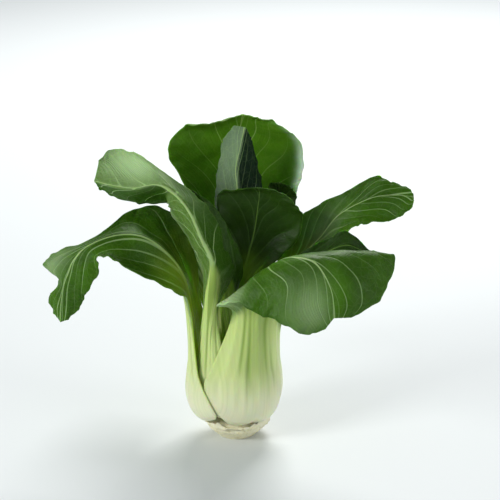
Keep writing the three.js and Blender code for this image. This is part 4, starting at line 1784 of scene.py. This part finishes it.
@dataclass(frozen=True)
class Lamp:
    """A soft square lamp that looks at a point.

    Args:
        name: Plain name of the lamp.
        place: Where it hangs, in metres.
        aim: The point that it looks at.
        size: Length of its side.
        power: Its power, in watts.
        colour: Its colour.
    """

    name: str
    place: tuple
    aim: tuple
    size: float
    power: float
    colour: tuple

    def build(self) -> None:
        """Hangs the lamp."""
        lamp = bpy.data.lights.new(self.name, "AREA")
        lamp.shape = "SQUARE"
        lamp.size = self.size
        lamp.energy = self.power
        lamp.color = self.colour
        holder = bpy.data.objects.new(self.name, lamp)
        holder.location = self.place
        direction = Vector(self.aim) - Vector(self.place)
        holder.rotation_euler = direction.to_track_quat("-Z", "Y").to_euler()
        bpy.context.scene.collection.objects.link(holder)


@dataclass(frozen=True)
class Studio:
    """The floor, the lights and the camera, in metres.

    Args:
        elevation: How far the camera looks down, in degrees.
        distance: From the camera to its target.
        focal: Focal length of the lens, in millimetres.
        target: The point that the camera looks at.
        floor_size: Half the length of the floor's side.
        floor_colours: The two pale tones of the floor.
        sky_colour: Colour of the pale sky.
        sky_strength: Strength of the pale sky.
        lamps: One soft lamp above and behind the head, and two fainter ones in front.
    """

    elevation: float = 18.0
    distance: float = 1.0
    focal: float = 120.0
    target: tuple = (0.0084, 0.0, 0.119)
    floor_size: float = 12.0
    floor_colours: tuple = ((0.70, 0.735, 0.745, 1), (0.735, 0.765, 0.77, 1))
    sky_colour: tuple = (0.92, 0.96, 1.0, 1)
    sky_strength: float = 0.31
    lamps: tuple = (
        Lamp("back lamp", (0.22, 1.15, 1.15), (0.08, 0.62, 0), 0.8, 23.0, (1.0, 0.995, 0.98)),
        Lamp("left lamp", (-0.88, -0.62, 0.6), HEAD_MIDDLE, 0.4, 7.9, (0.99, 1.0, 0.98)),
        Lamp("right lamp", (0.9, -0.55, 0.4), HEAD_MIDDLE, 0.4, 2.5, (1.0, 1.0, 1.0)),
    )

    def build(self) -> None:
        """Sets up everything round the head."""
        self._floor()
        for lamp in self.lamps:
            lamp.build()
        self._sky()
        self._camera()

    def _floor(self) -> None:
        """A pale matt floor, wide enough to fill the view."""
        ground = bmesh.new()
        bmesh.ops.create_grid(ground, x_segments=1, y_segments=1, size=self.floor_size)
        mesh = bpy.data.meshes.new("floor")
        ground.to_mesh(mesh)
        ground.free()
        floor = bpy.data.objects.new("floor", mesh)
        bpy.context.scene.collection.objects.link(floor)
        material, nodes, shader = new_material("Pale floor")
        soft = nodes.noise(nodes.add("TexCoord").outputs["Object"], 1.2, 2.0)
        nodes.feed(shader.inputs["Base Color"], nodes.mix(soft, *self.floor_colours))
        shader.inputs["Roughness"].default_value = 0.6
        mesh.materials.append(material)
        floor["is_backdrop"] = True

    def _sky(self) -> None:
        """An even, pale light from all sides."""
        world = bpy.data.worlds.new("Studio sky")
        world.use_nodes = True
        background = world.node_tree.nodes["Background"]
        background.inputs["Color"].default_value = self.sky_colour
        background.inputs["Strength"].default_value = self.sky_strength
        bpy.context.scene.world = world
        bpy.context.scene.view_settings.view_transform = "Standard"

    def _camera(self) -> None:
        """A long lens a little above the head, level across."""
        lens = bpy.data.cameras.new("camera")
        lens.sensor_width = 36.0
        lens.lens = self.focal
        lens.clip_start = 0.05
        holder = bpy.data.objects.new("camera", lens)
        tilt = math.radians(self.elevation)
        back = Vector((0, -math.cos(tilt), math.sin(tilt)))
        holder.location = Vector(self.target) + back * self.distance
        holder.rotation_euler = (-back).to_track_quat("-Z", "Y").to_euler()
        bpy.context.scene.collection.objects.link(holder)
        bpy.context.scene.camera = holder


@dataclass(frozen=True)
class BokChoy:
    """The whole head: its stem and its leaves.

    Args:
        stem: The cut stem.
        leaves: The leaves, from the outermost of the spiral in.
    """

    stem: StemBase = STEM
    leaves: tuple = LEAVES

    def pieces(self) -> Iterator[bpy.types.Object]:
        """Builds the pieces one after the other, dressed and tied to the frame.

        Yields:
            Each piece, once it is finished.
        """
        yield self._place(self.stem.build(), "stem", "stem_base")
        group = VeinGroup().build()
        for layer, spec in enumerate(self.leaves):
            sheet = LeafSheet(spec, layer)
            piece = LeafMesh(sheet).build()
            material = LeafMaterial(sheet, FINISHES[spec.tone], group).build()
            piece.data.materials.append(material)
            slot = "blade" if layer < OUTER_LEAVES else "inner_blade"
            yield self._place(piece, slot, f"{spec.name}_stalk", f"{spec.name}_blade")

    def _place(self, piece: bpy.types.Object, slot: str, *solids: str) -> bpy.types.Object:
        """Ties a piece to the frame.

        Args:
            piece: The piece.
            slot: Not used.
            solids: The solids that it stands for.

        Returns:
            The piece.
        """
        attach(piece, BODY)
        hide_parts(*solids)
        return piece


def main() -> tuple[list, list]:
    """Builds the head and then its studio, and reports each piece.

    Returns:
        The object's box before and after it is dressed.
    """
    logging.basicConfig(level=logging.INFO, format="%(name)s: %(message)s")
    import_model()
    before = [list(corner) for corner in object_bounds()]
    for piece in BokChoy().pieces():
        LOG.info("%s: %d faces", piece.name, len(piece.data.polygons))
    Studio().build()
    LOG.info("studio: floor, lights and camera")
    after = [list(corner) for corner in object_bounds()]
    return before, after


if __name__ == "__main__":
    packed, dressed = main()
